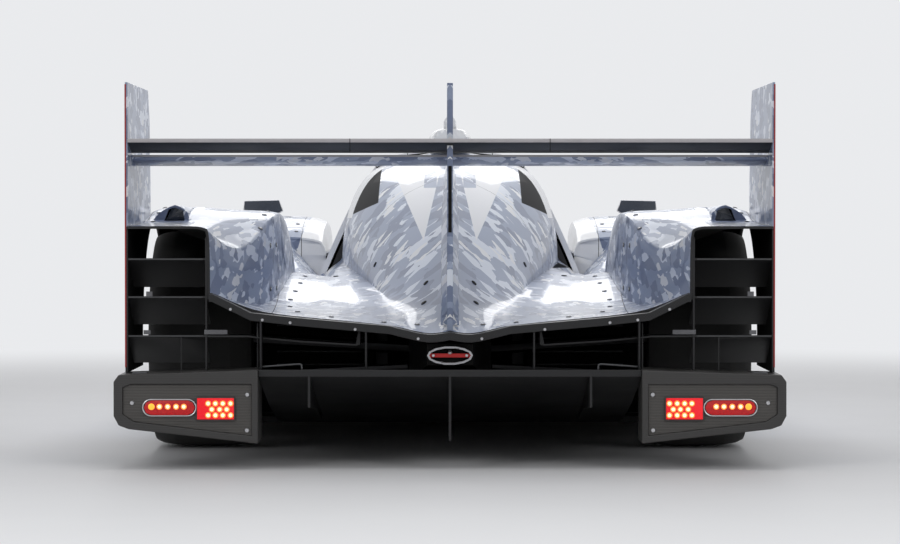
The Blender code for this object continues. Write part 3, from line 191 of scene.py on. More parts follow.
# The carbon structure: tub, dashboard, floor, splitter, diffuser, louvres and lip are
# laid-up carbon cloth under a satin lacquer. The panels' inner faces are left matt.
def object_place(start, scale=(1.0, 1.0, 1.0), turn=(0.0, 0.0, 0.0)):
    """Object coordinates, turned and scaled about the car's origin."""
    place = start.node("TexCoord", output="Object")
    return start.node("Mapping", links={"Vector": place, "Rotation": turn, "Scale": scale})


def bumped(start, height, strength, depth):
    return start.node("Bump", links={"Strength": strength, "Distance": depth, "Height": height})


def twill(start):
    """Two crossed sets of diagonal ribs, a few tows of cloth apart."""
    along = start.node("TexWave", wave_type="BANDS", bands_direction="DIAGONAL",
                       links={"Vector": object_place(start), "Scale": 70.0})
    across = start.node("TexWave", wave_type="BANDS", bands_direction="DIAGONAL",
                        links={"Vector": object_place(start, (-1.0, 1.0, 1.0)), "Scale": 70.0})
    return along * across


def carbon_recipe(start):
    cloth = twill(start)
    haze = start.node("TexNoise", links={"Vector": object_place(start), "Scale": 6.0})
    return {"Base Color": tinted(start, cloth, (0.006, 0.006, 0.007), (0.018, 0.018, 0.019)),
            "Roughness": haze * 0.18 + 0.36, "Specular IOR Level": 0.4,
            "Coat Weight": 0.12, "Coat Roughness": 0.2,
            "Normal": bumped(start, cloth, 0.10, 0.0003)}


def matt_recipe(start):
    cloth = twill(start)
    dust = start.node("TexNoise", links={"Vector": object_place(start), "Scale": 11.0,
                                         "Detail": 4.0})
    return {"Base Color": tinted(start, cloth * dust, (0.005, 0.005, 0.005),
                                 (0.022, 0.021, 0.020)),
            "Roughness": dust * 0.2 + 0.62, "Specular IOR Level": 0.15,
            "Normal": bumped(start, cloth, 0.3, 0.0003)}


CARBON = finish("carbon", carbon_recipe)
MATT = finish("matt_carbon", matt_recipe)


def linked(name, mesh, materials, body="root"):
    """A mesh shown as a piece that rides on a body and takes its finish from a slot."""
    for place, material in enumerate(materials):
        if place < len(mesh.materials):
            mesh.materials[place] = material
        else:
            mesh.materials.append(material)
    piece = bpy.data.objects.new(name, mesh)
    bpy.context.scene.collection.objects.link(piece)
    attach(piece, body)
    return piece


def eased(piece, width, crisp=32.0, segments=2):
    """A small radius along the piece's sharp edges."""
    edges = piece.modifiers.new("edges", "BEVEL")
    edges.width = width
    edges.segments = segments
    edges.limit_method = "ANGLE"
    edges.angle_limit = math.radians(crisp)
    edges.harden_normals = True


def refined(node, materials, levels=2, crisp=32.0, body="root", bevel=0.0, pick=None):
    """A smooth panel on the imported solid's own points.

    The solid's loose triangles are merged and paired into quads, edges that turn more
    than the crisp angle stay as they are, and the faces between them are subdivided.
    The pick function gives each face's material from its centre and normal.
    """
    bm = bmesh.new()
    bm.from_mesh(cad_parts[node].data)
    bmesh.ops.remove_doubles(bm, verts=bm.verts, dist=2e-5)
    triangles = [face for face in bm.faces if len(face.verts) == 3]
    bmesh.ops.join_triangles(bm, faces=triangles, angle_face_threshold=math.radians(25),
                             angle_shape_threshold=math.radians(50))
    crease = bm.edges.layers.float.new("crease_edge")
    for edge in bm.edges:
        if edge.calc_face_angle(0.0) > math.radians(crisp):
            edge[crease] = 1.0
    if pick:
        for face in bm.faces:
            face.material_index = pick(face.calc_center_median(), face.normal)
    mesh = bpy.data.meshes.new(node + "_skin")
    bm.to_mesh(mesh)
    bm.free()
    mesh.shade_smooth()
    mesh.set_sharp_from_angle(angle=math.radians(crisp))
    piece = linked(node + "_skin", mesh, materials, body)
    if levels:
        smooth = piece.modifiers.new("smooth", "SUBSURF")
        smooth.levels = smooth.render_levels = levels
        smooth.boundary_smooth = "PRESERVE_CORNERS"
        smooth.use_limit_surface = False
    if bevel:
        eased(piece, bevel, crisp)
    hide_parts(node)
    return piece


skins = {}
for node in ("tub", "floor", "splitter", "diffuser", "dashboard", "tail_lip",
             "louvres_left", "louvres_right"):
    skins[node] = refined(node, [CARBON], levels=0, bevel=0.0015)


# The bodywork: thin carbon panels in gloss paint, a splinter camouflage of steel blues
# under clear lacquer with small painted glints, black panel gaps, white and smoked fields
# on the cover, and a painted white reflection on each of the cover's shoulders.
SHADOW_BLUE = (0.175, 0.215, 0.330)
STEEL_BLUE = (0.290, 0.345, 0.480)
PALE_BLUE = (0.740, 0.790, 0.890)
# Near white: white paint, and also the painted glints and the cover's painted reflection.
WHITE_AND_GLINT = (0.84, 0.85, 0.88)
SMOKED = (0.006, 0.006, 0.007)
GAP_BLACK = (0.004, 0.004, 0.005)
SEAM_WIDTH = 0.0026


def shards(start, folded, channel, scale, lean, length):
    """Random numbers on angular slivers that lean alike on both sides of the car."""
    place = start.node("Mapping", vector_type="TEXTURE",
                       links={"Vector": folded, "Rotation": (0.15, lean, 0.25),
                              "Scale": (length, length * 0.75, 1.0)})
    cells = start.node("TexVoronoi", output="Color", distance="MANHATTAN",
                       links={"Vector": place, "Scale": scale})
    return start.node("SeparateColor", output=channel, links={"Color": cells})


def seam(distance):
    """A dark line where a distance is nil."""
    return abs(distance) < SEAM_WIDTH / 2


def camouflage_recipe(start, seams=None, pale=None, black=None, alike=True):
    """Splinters in three tones with small painted glints, white fields (a painted reflection on
    the cover's shoulders), smoked fields and dark panel gaps.
    """
    x, y, z = start.axes()
    drift = start.node("TexNoise", links={"Vector": object_place(start), "Scale": 2.2})
    folded = start.node("CombineXYZ", links={"X": abs(x) if alike else x,
                                             "Y": y, "Z": z})
    tone = tinted(start, shards(start, folded, "Red", 36.0, 0.70, 3.0)
                  + drift * 0.7 > 1.04, STEEL_BLUE, PALE_BLUE)
    tone = tinted(start, shards(start, folded, "Green", 28.0, 0.45, 2.4)
                  - drift * 0.7 > 0.32, tone, SHADOW_BLUE)
    # Small near-white splinters: painted glints.
    tone = tinted(start, shards(start, folded, "Blue", 58.0, 0.80, 3.4) > 0.93, tone, WHITE_AND_GLINT)
    # White fields, and on the cover's shoulders a painted reflection.
    if pale:
        tone = tinted(start, pale(abs(x), y, z), tone, WHITE_AND_GLINT)
    smoked = black(abs(x), y, z) if black else 0.0
    tone = tinted(start, smoked, tone, SMOKED)
    gap = 0.0
    for line in seams(abs(x), y, z) if seams else ():
        gap = start.sum("MAXIMUM", gap, line)
    peel = start.node("TexNoise", links={"Vector": object_place(start), "Scale": 90.0})
    return {"Base Color": tinted(start, gap, tone, GAP_BLACK),
            "Roughness": gap * 0.4 + smoked * 0.5 + 0.38, "Specular IOR Level": 0.35,
            "Coat Weight": 0.42 - smoked * 0.40, "Coat Roughness": 0.03,
            "Normal": bumped(start, peel * 0.04 + (1 - gap), 0.5, 0.0008)}


def cover_seams(out, y, z):
    return [seam(y + 1.04), seam(out - 0.535 - (y + 2.45) * 0.03), seam(y + 0.30)]


def past_slant(y, z):
    """How far a point lies ahead of the quarter window's slanting front edge."""
    return y + 0.49 - (z - 0.80) * 1.6


def cover_reflection_and_band(out, y, z):
    """A painted reflection of the overhead light: a white wedge on each shoulder of the cover,
    round a pointed blue tongue. And the white band at the cover's front."""
    # The wedge is a painted reflection of the overhead light, white from every side.
    reflected_wedge = ((out - 0.086 - (z - 0.673) / 2.07 < 0.0) * (z > 0.673) * (y < -0.45)
             * (out - 0.030 - (0.93 - z) * 0.218 > 0.0))
    tongue = ((abs(out - 0.068) * 2.0 - (0.925 - z) * 0.5 < 0.030) * (out > 0.046)
              * (out < 0.090) * (z > 0.850))
    band = (past_slant(y, z) > 0.0) * (z > 0.745)
    return reflected_wedge * (1 - tongue) + band


def quarter_window(out, y, z):
    """The smoked quarter window behind each door."""
    return ((past_slant(y, z) < 0.0) * (out > 0.252)
            * (z - 0.765 - (0.335 - out) * 0.41 > 0.0))


def rear_fender_seams(out, y, z):
    return [seam(y + 1.77) * (out < 0.64), seam(y + 1.23), seam(out - 0.962) * (z > 0.70),
            seam(z - 0.28) * (y > -1.30)]


def front_seams(out, y, z):
    return [seam(y - 1.27) * (out > 0.62), seam(z - 0.24) * (out > 0.60), seam(y - 2.10)
            * (out < 0.60), seam(out - 0.615)]


def front_white(out, y, z):
    """The white field on the inner half of each front fender."""
    return (out + z * 0.30 - 0.815 < 0.0) * (y < 1.95)


def door_white(out, y, z):
    """The white canopy from the doors' waist up."""
    return z - 0.560 > 0.0


def side_seams(out, y, z):
    return [seam(y - 0.42), seam(y + 0.52), seam(z - 0.215)]


def shell(x, z, rear=-9.0):
    """Picks matt carbon for faces that look towards a line along the car, and lacquered
    carbon for the cut edges that face the rear."""
    def pick(centre, normal):
        inward = (x - centre.x) * normal.x + (z - centre.z) * normal.z > 0
        return 1 if inward else 2 if normal.y < -0.92 and centre.y < rear else 0
    return pick


LIVERY = finish("livery", camouflage_recipe)
COVER = finish("livery_cover", camouflage_recipe, cover_seams, cover_reflection_and_band, quarter_window)
REAR = finish("livery_rear", camouflage_recipe, rear_fender_seams)
FRONT = finish("livery_front", camouflage_recipe, front_seams, front_white)
NOSE = finish("livery_nose", camouflage_recipe, front_seams, front_white, None, False)
SIDE = finish("livery_side", camouflage_recipe, side_seams)
DOOR = finish("livery_door", camouflage_recipe, None, door_white)
skins["engine_cover"] = refined("engine_cover", [COVER, MATT, CARBON],
                                pick=shell(0.0, -1.0, -2.40))
skins["nose"] = refined("nose", [NOSE, MATT, CARBON], pick=shell(0.0, -1.0))
for side, sign in (("left", -1), ("right", 1)):
    skins["rear_fender_" + side] = refined("rear_fender_" + side, [REAR, MATT, CARBON],
                                           pick=shell(sign * 0.84, 0.0, -1.98))
    skins["front_fender_" + side] = refined("front_fender_" + side, [FRONT, MATT, CARBON],
                                            pick=shell(sign * 0.77, 0.0))
    skins["sidepod_" + side] = refined("sidepod_" + side, [SIDE, MATT, CARBON],
                                       pick=shell(sign * 0.75, 0.0))
    refined("door_" + side, [DOOR, MATT, CARBON], levels=1, body=side + "_door",
            pick=shell(0.0, 0.4))
    refined("endplate_" + side, [LIVERY], levels=0, bevel=0.002)
refined("fin", [LIVERY], levels=0, bevel=0.003)
refined("wing_main", [LIVERY], levels=1, crisp=50.0)


def white_recipe(start):
    x, y, z = start.axes()
    peel = start.node("TexNoise", links={"Vector": object_place(start), "Scale": 90.0})
    edge = seam(abs(x) - 0.16)
    return {"Base Color": tinted(start, edge, (0.76, 0.77, 0.79), (0.02, 0.02, 0.02)),
            "Roughness": peel * 0.02 + 0.3, "Coat Weight": 0.7, "Coat Roughness": 0.03,
            "Normal": bumped(start, peel, 0.03, 0.0004)}


WHITE = finish("white_paint", white_recipe)
refined("roof_scoop", [WHITE, MATT], levels=1,
        pick=lambda centre, normal: int(normal.y > 0.8 or centre.y > 0.05))
skins["roof"] = refined("roof", [WHITE, MATT],
                        pick=lambda centre, normal: int(normal.z < -0.3))


# The rear wing: a painted main plane and a bare carbon flap with a pale gurney strip,
# held by low-headed screws between painted endplates that are edged in red at the rear.
def maker(name, inputs, parts):
    """A Geometry Nodes tree that turns a mesh of points or lines into pieces."""
    tree = bpy.data.node_groups.new(name, "GeometryNodeTree")
    for label, kind in {"Geometry": "Geometry", **inputs}.items():
        tree.interface.new_socket(label, in_out="INPUT", socket_type="NodeSocket" + kind)
    tree.interface.new_socket("Geometry", in_out="OUTPUT", socket_type="NodeSocketGeometry")
    made = {"given": tree.nodes.new("NodeGroupInput")}
    for label, (kind, settings, links) in parts.items():
        made[label] = tree.nodes.new(kind)
        for key, value in settings.items():
            setattr(made[label], key, value)
        for socket, value in links.items():
            if isinstance(value, tuple):
                tree.links.new(made[value[0]].outputs[value[1]], made[label].inputs[socket])
            else:
                made[label].inputs[socket].default_value = value
    result = tree.nodes.new("NodeGroupOutput")
    tree.links.new(made["coat"].outputs[0], result.inputs[0])
    return tree


HEADS = maker("heads_on_points",
              {"Radius": "Float", "Top": "Float", "Height": "Float", "Sides": "Int",
               "Finish": "Material"},
              {"head": ("GeometryNodeMeshCone", {},
                        {"Vertices": ("given", "Sides"), "Radius Bottom": ("given", "Radius"),
                         "Radius Top": ("given", "Top"), "Depth": ("given", "Height")}),
               "facing": ("GeometryNodeInputNamedAttribute", {"data_type": "FLOAT_VECTOR"},
                          {"Name": "facing"}),
               "turn": ("FunctionNodeAlignRotationToVector", {"axis": "Z"},
                        {"Vector": ("facing", "Attribute")}),
               "set": ("GeometryNodeInstanceOnPoints", {},
                       {"Points": ("given", "Geometry"), "Instance": ("head", "Mesh"),
                        "Rotation": ("turn", "Rotation")}),
               "real": ("GeometryNodeRealizeInstances", {}, {"Geometry": ("set", 0)}),
               "coat": ("GeometryNodeSetMaterial", {},
                        {"Geometry": ("real", 0), "Material": ("given", "Finish")})})

TUBES = maker("tube_on_lines",
              {"Radius": "Float", "Sides": "Int", "Finish": "Material"},
              {"line": ("GeometryNodeMeshToCurve", {}, {"Mesh": ("given", "Geometry")}),
               "round": ("GeometryNodeCurvePrimitiveCircle", {},
                         {"Resolution": ("given", "Sides"), "Radius": ("given", "Radius")}),
               "tube": ("GeometryNodeCurveToMesh", {},
                        {"Curve": ("line", 0), "Profile Curve": ("round", 0),
                         "Fill Caps": True}),
               "real": ("GeometryNodeRealizeInstances", {}, {"Geometry": ("tube", 0)}),
               "coat": ("GeometryNodeSetMaterial", {},
                        {"Geometry": ("real", 0), "Material": ("given", "Finish")})})


def grown(name, tree, points, lines, facing, body, values):
    """Runs a tree on points or lines and keeps the result as a plain mesh."""
    seeds = bpy.data.meshes.new(name + "_seeds")
    seeds.from_pydata([tuple(point) for point in points], lines, [])
    if facing:
        held = seeds.attributes.new("facing", "FLOAT_VECTOR", "POINT")
        for item, vector in zip(held.data, facing):
            item.vector = vector
    holder = bpy.data.objects.new(name + "_seeds", seeds)
    bpy.context.scene.collection.objects.link(holder)
    grow = holder.modifiers.new("grow", "NODES")
    grow.node_group = tree
    for item in tree.interface.items_tree:
        if item.in_out == "INPUT" and item.name in values:
            grow[item.identifier] = values[item.name]
    view = bpy.context.evaluated_depsgraph_get()
    mesh = bpy.data.meshes.new_from_object(holder.evaluated_get(view))
    bpy.data.objects.remove(holder)
    mesh.shade_smooth()
    mesh.set_sharp_from_angle(angle=math.radians(40))
    return linked(name, mesh, [values["Finish"]], body)


def heads(name, places, material, radius, height, sides=8, top=0.8, body="root"):
    """Screw or rivet heads at places, each one a point and the way it faces."""
    points, facing = zip(*places)
    return grown(name, HEADS, points, [], facing, body,
                 {"Finish": material, "Radius": radius, "Top": radius * top,
                  "Height": height, "Sides": sides})


def tubes(name, paths, material, radius, sides=8, closed=False, body="root"):
    """Rods, beads and rings that follow paths."""
    points, lines = [], []
    for path in paths:
        first = len(points)
        points += path
        lines += [(i, i + 1) for i in range(first, len(points) - 1)]
        if closed:
            lines.append((len(points) - 1, first))
    return grown(name, TUBES, points, lines, None, body,
                 {"Finish": material, "Radius": radius, "Sides": sides})


def plates(name, corners, material, bevel=0.001, body="root"):
    """Flat strips and brackets, each one between two corners, with eased edges."""
    bm = bmesh.new()
    for low, high in corners:
        low, high = Vector(low), Vector(high)
        made = bmesh.ops.create_cube(bm, size=1.0)
        for vertex in made["verts"]:
            vertex.co = [(a + b) / 2 + c * abs(b - a)
                         for a, b, c in zip(low, high, vertex.co)]
    mesh = bpy.data.meshes.new(name)
    bm.to_mesh(mesh)
    bm.free()
    mesh.shade_smooth()
    mesh.set_sharp_from_angle(angle=math.radians(40))
    eased(linked(name, mesh, [material], body), bevel)


def worn_paint(name, colour, roughness=0.4, metallic=0.0):
    """A plain sprayed or anodised finish, a little uneven and rubbed."""
    def recipe(start):
        rub = start.node("TexNoise", links={"Vector": object_place(start), "Scale": 35.0,
                                            "Detail": 4.0})
        darker = tuple(part * 0.75 for part in colour)
        return {"Base Color": tinted(start, rub, darker, colour), "Metallic": metallic,
                "Roughness": rub * 0.15 + (roughness - 0.07),
                "Normal": bumped(start, rub, 0.1, 0.0003)}
    return finish(name, recipe)


BRIGHT = worn_paint("bright_screws", (0.62, 0.62, 0.64), 0.3, 1.0)
GURNEY = worn_paint("gurney_strip", (0.50, 0.48, 0.50), 0.4)
EDGE_RED = worn_paint("edge_red", (0.42, 0.030, 0.028), 0.4)
SLATE = worn_paint("slate_edge", (0.115, 0.118, 0.125), 0.42)

refined("wing_flap", [CARBON, GURNEY], levels=0, crisp=50.0,
        pick=lambda centre, normal: int(centre.y < -2.4535 and centre.z > 0.972))
for side, sign in (("left", -1), ("right", 1)):
    plates("wing_red_edge_" + side,
           [((sign * 0.9715, -2.4515, 0.300), (sign * 0.9760, -2.4480, 1.150))],
           EDGE_RED, bevel=0.0008)
    heads("endplate_screws_" + side,
          [((sign * 0.9750, y, z), (sign, 0, 0))
           for y, z in ((-2.08, 0.924), (-2.17, 0.922), (-2.27, 0.925), (-2.35, 0.957),
                        (-2.42, 0.972), (-1.84, 0.760), (-1.98, 0.745), (-2.12, 0.740),
                        (-2.26, 0.738), (-2.40, 0.738))],
          BRIGHT, 0.0065, 0.0016, sides=12)
# A dark strip down the fin's rear edge under the wing: painted shade.
plates("fin_painted_shade", [((-0.0052, -2.4215, 0.705), (0.0052, -2.4185, 0.905))], MATT,
       bevel=0.0008)
plates("wing_joints", [((x - 0.0010, -2.4600, 0.9475), (x + 0.0010, -2.4540, 0.9865))
                       for x in (-0.300, 0.300)], MATT, bevel=0.0003)
# A pale strip along the main plane's rear edge: a painted highlight for the bright line between
# main plane and flap.
plates("wing_painted_highlight", [((-0.9640, -2.3362, 0.9335), (-0.0080, -2.3345, 0.9400)),
                            ((0.0080, -2.3362, 0.9335), (0.9640, -2.3345, 0.9400))],
       GURNEY, bevel=0.0005)


# Quarter-turn fasteners and pin slots hold the panels down. Each one sits on the skin
# itself, found by a straight line down to it.
touch = {}


def on_skin(skin, start, way):
    """Where a line first meets a finished panel, and how the panel faces there."""
    view = bpy.context.evaluated_depsgraph_get()
    if skin not in touch:
        touch[skin] = BVHTree.FromObject(skins[skin], view)
    place, normal = touch[skin].ray_cast(Vector(start), Vector(way).normalized())[:2]
    return (place, normal) if place else None


down, inward = (0, 0, -1), {-1: (1, 0, 0), 1: (-1, 0, 0)}
found = [on_skin("nose", (x, y, 1.0), down) for x in (-0.50, 0.50)
         for y in (1.30, 1.52, 1.74, 1.96, 2.18)]
for side, sign in (("left", -1), ("right", 1)):
    cover = [(0.500, -1.10), (0.505, -1.32), (0.510, -1.54), (0.515, -1.76), (0.505, -1.98),
             (0.470, -2.20), (0.360, -2.36), (0.200, -2.39), (0.100, -2.36)]
    found += [on_skin("engine_cover", (sign * x, y, 1.3), down) for x, y in cover]
    found += [on_skin("rear_fender_" + side, (sign * x, y, 1.3), down)
              for x in (0.60, 0.94) for y in (-0.95, -1.15, -1.35, -1.55, -1.75, -1.95)]
    found += [on_skin("rear_fender_" + side, (sign * 0.40, y, z), (sign, 0, 0))
              for y, z in ((-1.70, 0.52), (-1.70, 0.66), (-1.84, 0.52), (-1.84, 0.66))]
    found += [on_skin("front_fender_" + side, (sign * x, y, 1.3), down)
              for x in (0.64, 0.93) for y in (1.08, 1.22, 1.90, 2.05)]
    found += [on_skin("sidepod_" + side, (sign * 1.4, y, z), inward[sign])
              for y in (-0.62, -0.42, 0.32, 0.52, 0.72) for z in (0.245, 0.42)]
found = [hit for hit in found if hit]
heads("panel_fasteners", found, SLATE, 0.0085, 0.0024, sides=12, top=0.85)
heads("panel_fastener_pins", [(place + normal * 0.001, normal) for place, normal in found],
      BRIGHT, 0.0034, 0.0024, sides=6, top=0.9)
slots = [on_skin("engine_cover", (sign * x, y, 1.3), down) for sign in (-1, 1)
         for x, y in ((0.076, -1.966), (0.081, -2.118), (0.252, -1.346), (0.395, -1.05))]
heads("cover_pin_slots", [hit for hit in slots if hit], MATT, 0.0100, 0.0020,
      sides=12, top=0.92)


# Service fittings on the skin: two round valves on each sidepod and two more on the left
# rear fender, two aerial pucks on the roof, and an air-speed tube on the nose.
fittings = [on_skin("rear_fender_left", (-1.4, -1.02, z), inward[-1]) for z in (0.53, 0.40)]
fittings += [on_skin("sidepod_" + side, (sign * 1.4, y, 0.330), inward[sign])
             for side, sign in (("left", -1), ("right", 1)) for y in (-0.150, 0.000)]
fittings = [hit for hit in fittings if hit]
heads("valve_rings", fittings, BRIGHT, 0.0340, 0.0040, sides=32, top=0.94)
heads("valve_cups", [(place + normal * 0.0012, normal) for place, normal in fittings],
      MATT, 0.0270, 0.0040, sides=32, top=0.94)
heads("valve_plungers", [(place + normal * 0.0025, normal) for place, normal in fittings],
      EDGE_RED, 0.0110, 0.0050, sides=16, top=0.8)
nose_spot = on_skin("nose", (0.0, 1.75, 1.2), down)[0]
tubes("air_speed_tube", [[nose_spot, nose_spot + Vector((0, 0.004, 0.070)),
                          nose_spot + Vector((0, 0.014, 0.082)),
                          nose_spot + Vector((0, 0.060, 0.084))]], BRIGHT, 0.0035)
heads("air_speed_foot", [(nose_spot, Vector((0, 0.2, 1)))], SLATE, 0.012, 0.006)
pucks = [on_skin("roof", (x, 0.215, 1.3), down) for x in (-0.115, 0.115)]
heads("aerial_pucks", [hit for hit in pucks if hit], MATT, 0.030, 0.018, sides=28,
      top=0.82)


# The open tail under the lip: slats with a pale strip painted across each as a highlight,
# brackets, two rods, the lip's screws, and dark ribbed panels that close each wheelhouse
# towards the front.
def both_sides(corners):
    """The same plates on both sides of the car."""
    return [((sign * low[0], *low[1:]), (sign * high[0], *high[1:]))
            for sign in (-1, 1) for low, high in corners]


screws = []
for x in (0.095, 0.283, 0.477, 0.560, 0.655):
    for sign in (-1, 1):
        rows = [on_skin("tail_lip", (sign * x, -3.0, 0.300 + 0.004 * step), (0, 1, 0))
                for step in range(60)]
        rows = [hit for hit in rows if hit and hit[0].y < -2.505]
        if rows:
            screws.append((rows[0][0].lerp(rows[-1][0], 0.22), Vector((0, -1, 0))))
heads("lip_screws", screws, BRIGHT, 0.0050, 0.0022, sides=10)
# Grey strips across the slats: painted highlights.
plates("slat_painted_highlights", both_sides([((0.742, -2.4516, z), (0.964, -2.4495, z + 0.0022))
                                 for z in (0.6240, 0.5100, 0.3930)]),
       SLATE, bevel=0.0004)
plates("slat_brackets",
       both_sides([((0.893, -2.4530, 0.5130), (0.912, -2.4490, 0.5280)),
                   ((0.668, -2.4528, 0.3990), (0.738, -2.4490, 0.4130)),
                   ((0.906, -2.5000, 0.2820), (0.949, -2.4650, 0.2875)),
                   ((0.899, -2.4530, 0.3990), (0.920, -2.4490, 0.4120))]),
       worn_paint("bracket_grey", (0.16, 0.16, 0.17), 0.4, 0.6))
tubes("tail_rods", [[(sign * 0.5600, -2.4900, 0.3040), (sign * 0.4500, -2.4900, 0.3120),
                     (sign * 0.4440, -2.4900, 0.3090), (sign * 0.4430, -2.4900, 0.2960)]
                    for sign in (-1, 1)], SLATE, 0.0028)
plates("wheelhouse_panels",
       both_sides([((0.262, -1.030, 0.072), (0.960, -1.022, 0.515)),
                   ((0.262, -1.030, 0.072), (0.268, -0.905, 0.500))]),
       MATT, bevel=0.002)
plates("duct_ribs",
       both_sides([((0.300, -1.038, 0.100 + 0.045 * row),
                    (0.600, -1.029, 0.106 + 0.045 * row)) for row in range(9)]),
       SLATE, bevel=0.001)


# The lamp pods: dark moulded boxes with a ribbed plate let in, the ribs of both painted
# lighter on the ridges and darker in the grooves as light and shade. Each holds an oval lamp
# of five diodes in a bright ring and a square lamp of eleven.
def pod_recipe(start):
    rib_and_painted_shade = start.node("TexWave", wave_type="BANDS", bands_direction="Z",
                     links={"Vector": object_place(start), "Scale": 60.0})
    # Ridges lighter and grooves darker: painted highlight and shade.
    return {"Base Color": tinted(start, rib_and_painted_shade, (0.034, 0.033, 0.032), (0.050, 0.048, 0.047)),
            "Roughness": rib_and_painted_shade * 0.1 + 0.45, "Normal": bumped(start, rib_and_painted_shade, 0.15, 0.0004)}


def red_lens_recipe(start, glow):
    facet = start.node("TexVoronoi", links={"Vector": object_place(start), "Scale": 220.0})
    return {"Base Color": tinted(start, facet, (0.55, 0.010, 0.008), (0.22, 0.004, 0.004)),
            "Roughness": facet * 0.1 + 0.12, "Emission Color": (0.85, 0.004, 0.016, 1),
            "Emission Strength": glow, "Normal": bumped(start, facet, 0.3, 0.0006)}


def diode(name, colour, strength):
    """A lit diode, a little uneven in its glow."""
    def recipe(start):
        grain = start.node("TexNoise", links={"Vector": object_place(start), "Scale": 300.0})
        return {"Base Color": (*colour, 1),
                "Emission Color": tinted(start, grain, tuple(part * 0.85 for part in colour),
                                         colour),
                "Emission Strength": strength, "Roughness": 0.2}
    return finish(name, recipe)


def plate_recipe(start):
    rib_and_painted_shade = start.node("TexWave", wave_type="BANDS", bands_direction="Z",
                     links={"Vector": object_place(start), "Scale": 68.0})
    # Ridges lighter and grooves darker: painted highlight and shade.
    return {"Base Color": tinted(start, rib_and_painted_shade, (0.044, 0.041, 0.038), (0.098, 0.092, 0.085)),
            "Roughness": rib_and_painted_shade * 0.1 + 0.40, "Normal": bumped(start, rib_and_painted_shade, 0.5, 0.0010)}


POD = finish("pod", pod_recipe)
PLATE = finish("ribbed_plate", plate_recipe)
RED_LENS = finish("red_lens", red_lens_recipe, 0.75)
DIM_LENS = finish("dim_red_lens", red_lens_recipe, 0.22)
DIODE_RED = diode("diode_glow", (1.0, 0.30, 0.06), 1.0)
DIODE_AMBER = diode("diode_amber", (1.0, 0.42, 0.04), 1.0)
DIODE_WHITE = diode("diode_core", (1.0, 0.90, 0.55), 1.1)
FACE_Y = -2.5483     # the lamps' rear face
OVAL_X, OVAL_Z = (0.8874, 0.8637, 0.8390, 0.8141, 0.7912), 0.1850
SQUARE = [(x, z) for z, row in ((0.1975, (0.7188, 0.6972, 0.6752, 0.6523)),
                                (0.1800, (0.7078, 0.6847, 0.6636)),
                                (0.1625, (0.7188, 0.6972, 0.6752, 0.6523))) for x in row]
rear = Vector((0, -1, 0))
for side, sign in (("left", -1), ("right", 1)):
    refined("lamp_pod_" + side, [POD], levels=0, bevel=0.003)
    refined("lamps_" + side, [PLATE, RED_LENS, DIM_LENS], levels=0, bevel=0.001,
            pick=lambda centre, normal: 0 if centre.y > -2.5470
            else 2 if abs(centre.x) > 0.755 else 1)
    ring = []
    for middle, first in ((0.8880, -90), (0.7800, 90)):
        ring += [(sign * (middle + 0.0250 * math.cos(math.radians(first + 15 * step))),
                  FACE_Y - 0.0002,
                  OVAL_Z + 0.0245 * math.sin(math.radians(first + 15 * step)))
                 for step in range(13)]
    tubes("oval_ring_" + side, [ring], BRIGHT, 0.0020, closed=True)
    frame_x, frame_z = (0.6400, 0.7530), (0.1470, 0.2150)
    tubes("square_frame_" + side,
          [[(sign * x, FACE_Y + 0.0004, z) for x, z in
            ((frame_x[0], frame_z[0]), (frame_x[1], frame_z[0]), (frame_x[1], frame_z[1]),
             (frame_x[0], frame_z[1]))]], POD, 0.0022, closed=True)
    cups = [((sign * x, FACE_Y, OVAL_Z + 0.003), rear) for x in OVAL_X[1:]]
    cups += [((sign * x, FACE_Y, z), rear) for x, z in SQUARE]
    heads("diode_cups_" + side, cups, DIODE_RED, 0.0088, 0.0012, sides=14, top=0.85)
    heads("diode_amber_" + side, [((sign * OVAL_X[0], FACE_Y, OVAL_Z + 0.003), rear)],
          DIODE_AMBER, 0.0098, 0.0012, sides=14, top=0.85)
    heads("diode_cores_" + side, [((place[0], FACE_Y - 0.0006, place[2]), rear)
                                  for place, way in cups],
          DIODE_WHITE, 0.0064, 0.0014, sides=12, top=0.6)
    heads("pod_screws_" + side,
          [((sign * x, -2.5420, z), rear) for x, z in
           ((0.9457, 0.1990), (0.6027, 0.2236), (0.6039, 0.1174))],
          BRIGHT, 0.0075, 0.0040, sides=16, top=0.75)


# The towing eye in the middle of the tail, a thin steel ring round a red bar, and the
# cast and machined metal parts of the drive train and the suspension.
def metal_recipe(start, dark, pale):
    cast = start.node("TexNoise", links={"Vector": object_place(start), "Scale": 25.0,
                                         "Detail": 4.0})
    return {"Base Color": tinted(start, cast, dark, pale), "Metallic": 1.0,
            "Roughness": cast * 0.2 + 0.30, "Normal": bumped(start, cast, 0.08, 0.0005)}


CASTING = finish("dark_casting", metal_recipe, (0.035, 0.035, 0.037), (0.075, 0.075, 0.078))
STEEL = finish("machined_steel", metal_recipe, (0.30, 0.30, 0.31), (0.48, 0.48, 0.50))
TOW_RED = worn_paint("tow_red", (0.55, 0.012, 0.012), 0.35)
refined("tow_eye", [STEEL, TOW_RED], levels=0, bevel=0.0008,
        pick=lambda centre, normal: int(abs(centre.x) < 0.062 and 0.3300 < centre.z < 0.3440))
heads("tow_bar_ends", [((sign * 0.050, -2.4785, 0.337), Vector((0, -1, 0)))
                       for sign in (-1, 1)], BRIGHT, 0.0050, 0.0020, sides=10)
heads("tow_bolt", [((0.0, -2.4750, 0.3450), Vector((0, -0.5, 0.86)))], BRIGHT,
      0.0075, 0.0060, sides=12)
for node in ("engine", "gearbox", "rear_suspension_left", "rear_suspension_right",
             "front_suspension_left", "front_suspension_right"):
    refined(node, [CASTING, MATT], levels=0, bevel=0.002,
            pick=lambda centre, normal: int(normal.y < -0.9 and centre.y < -2.44))
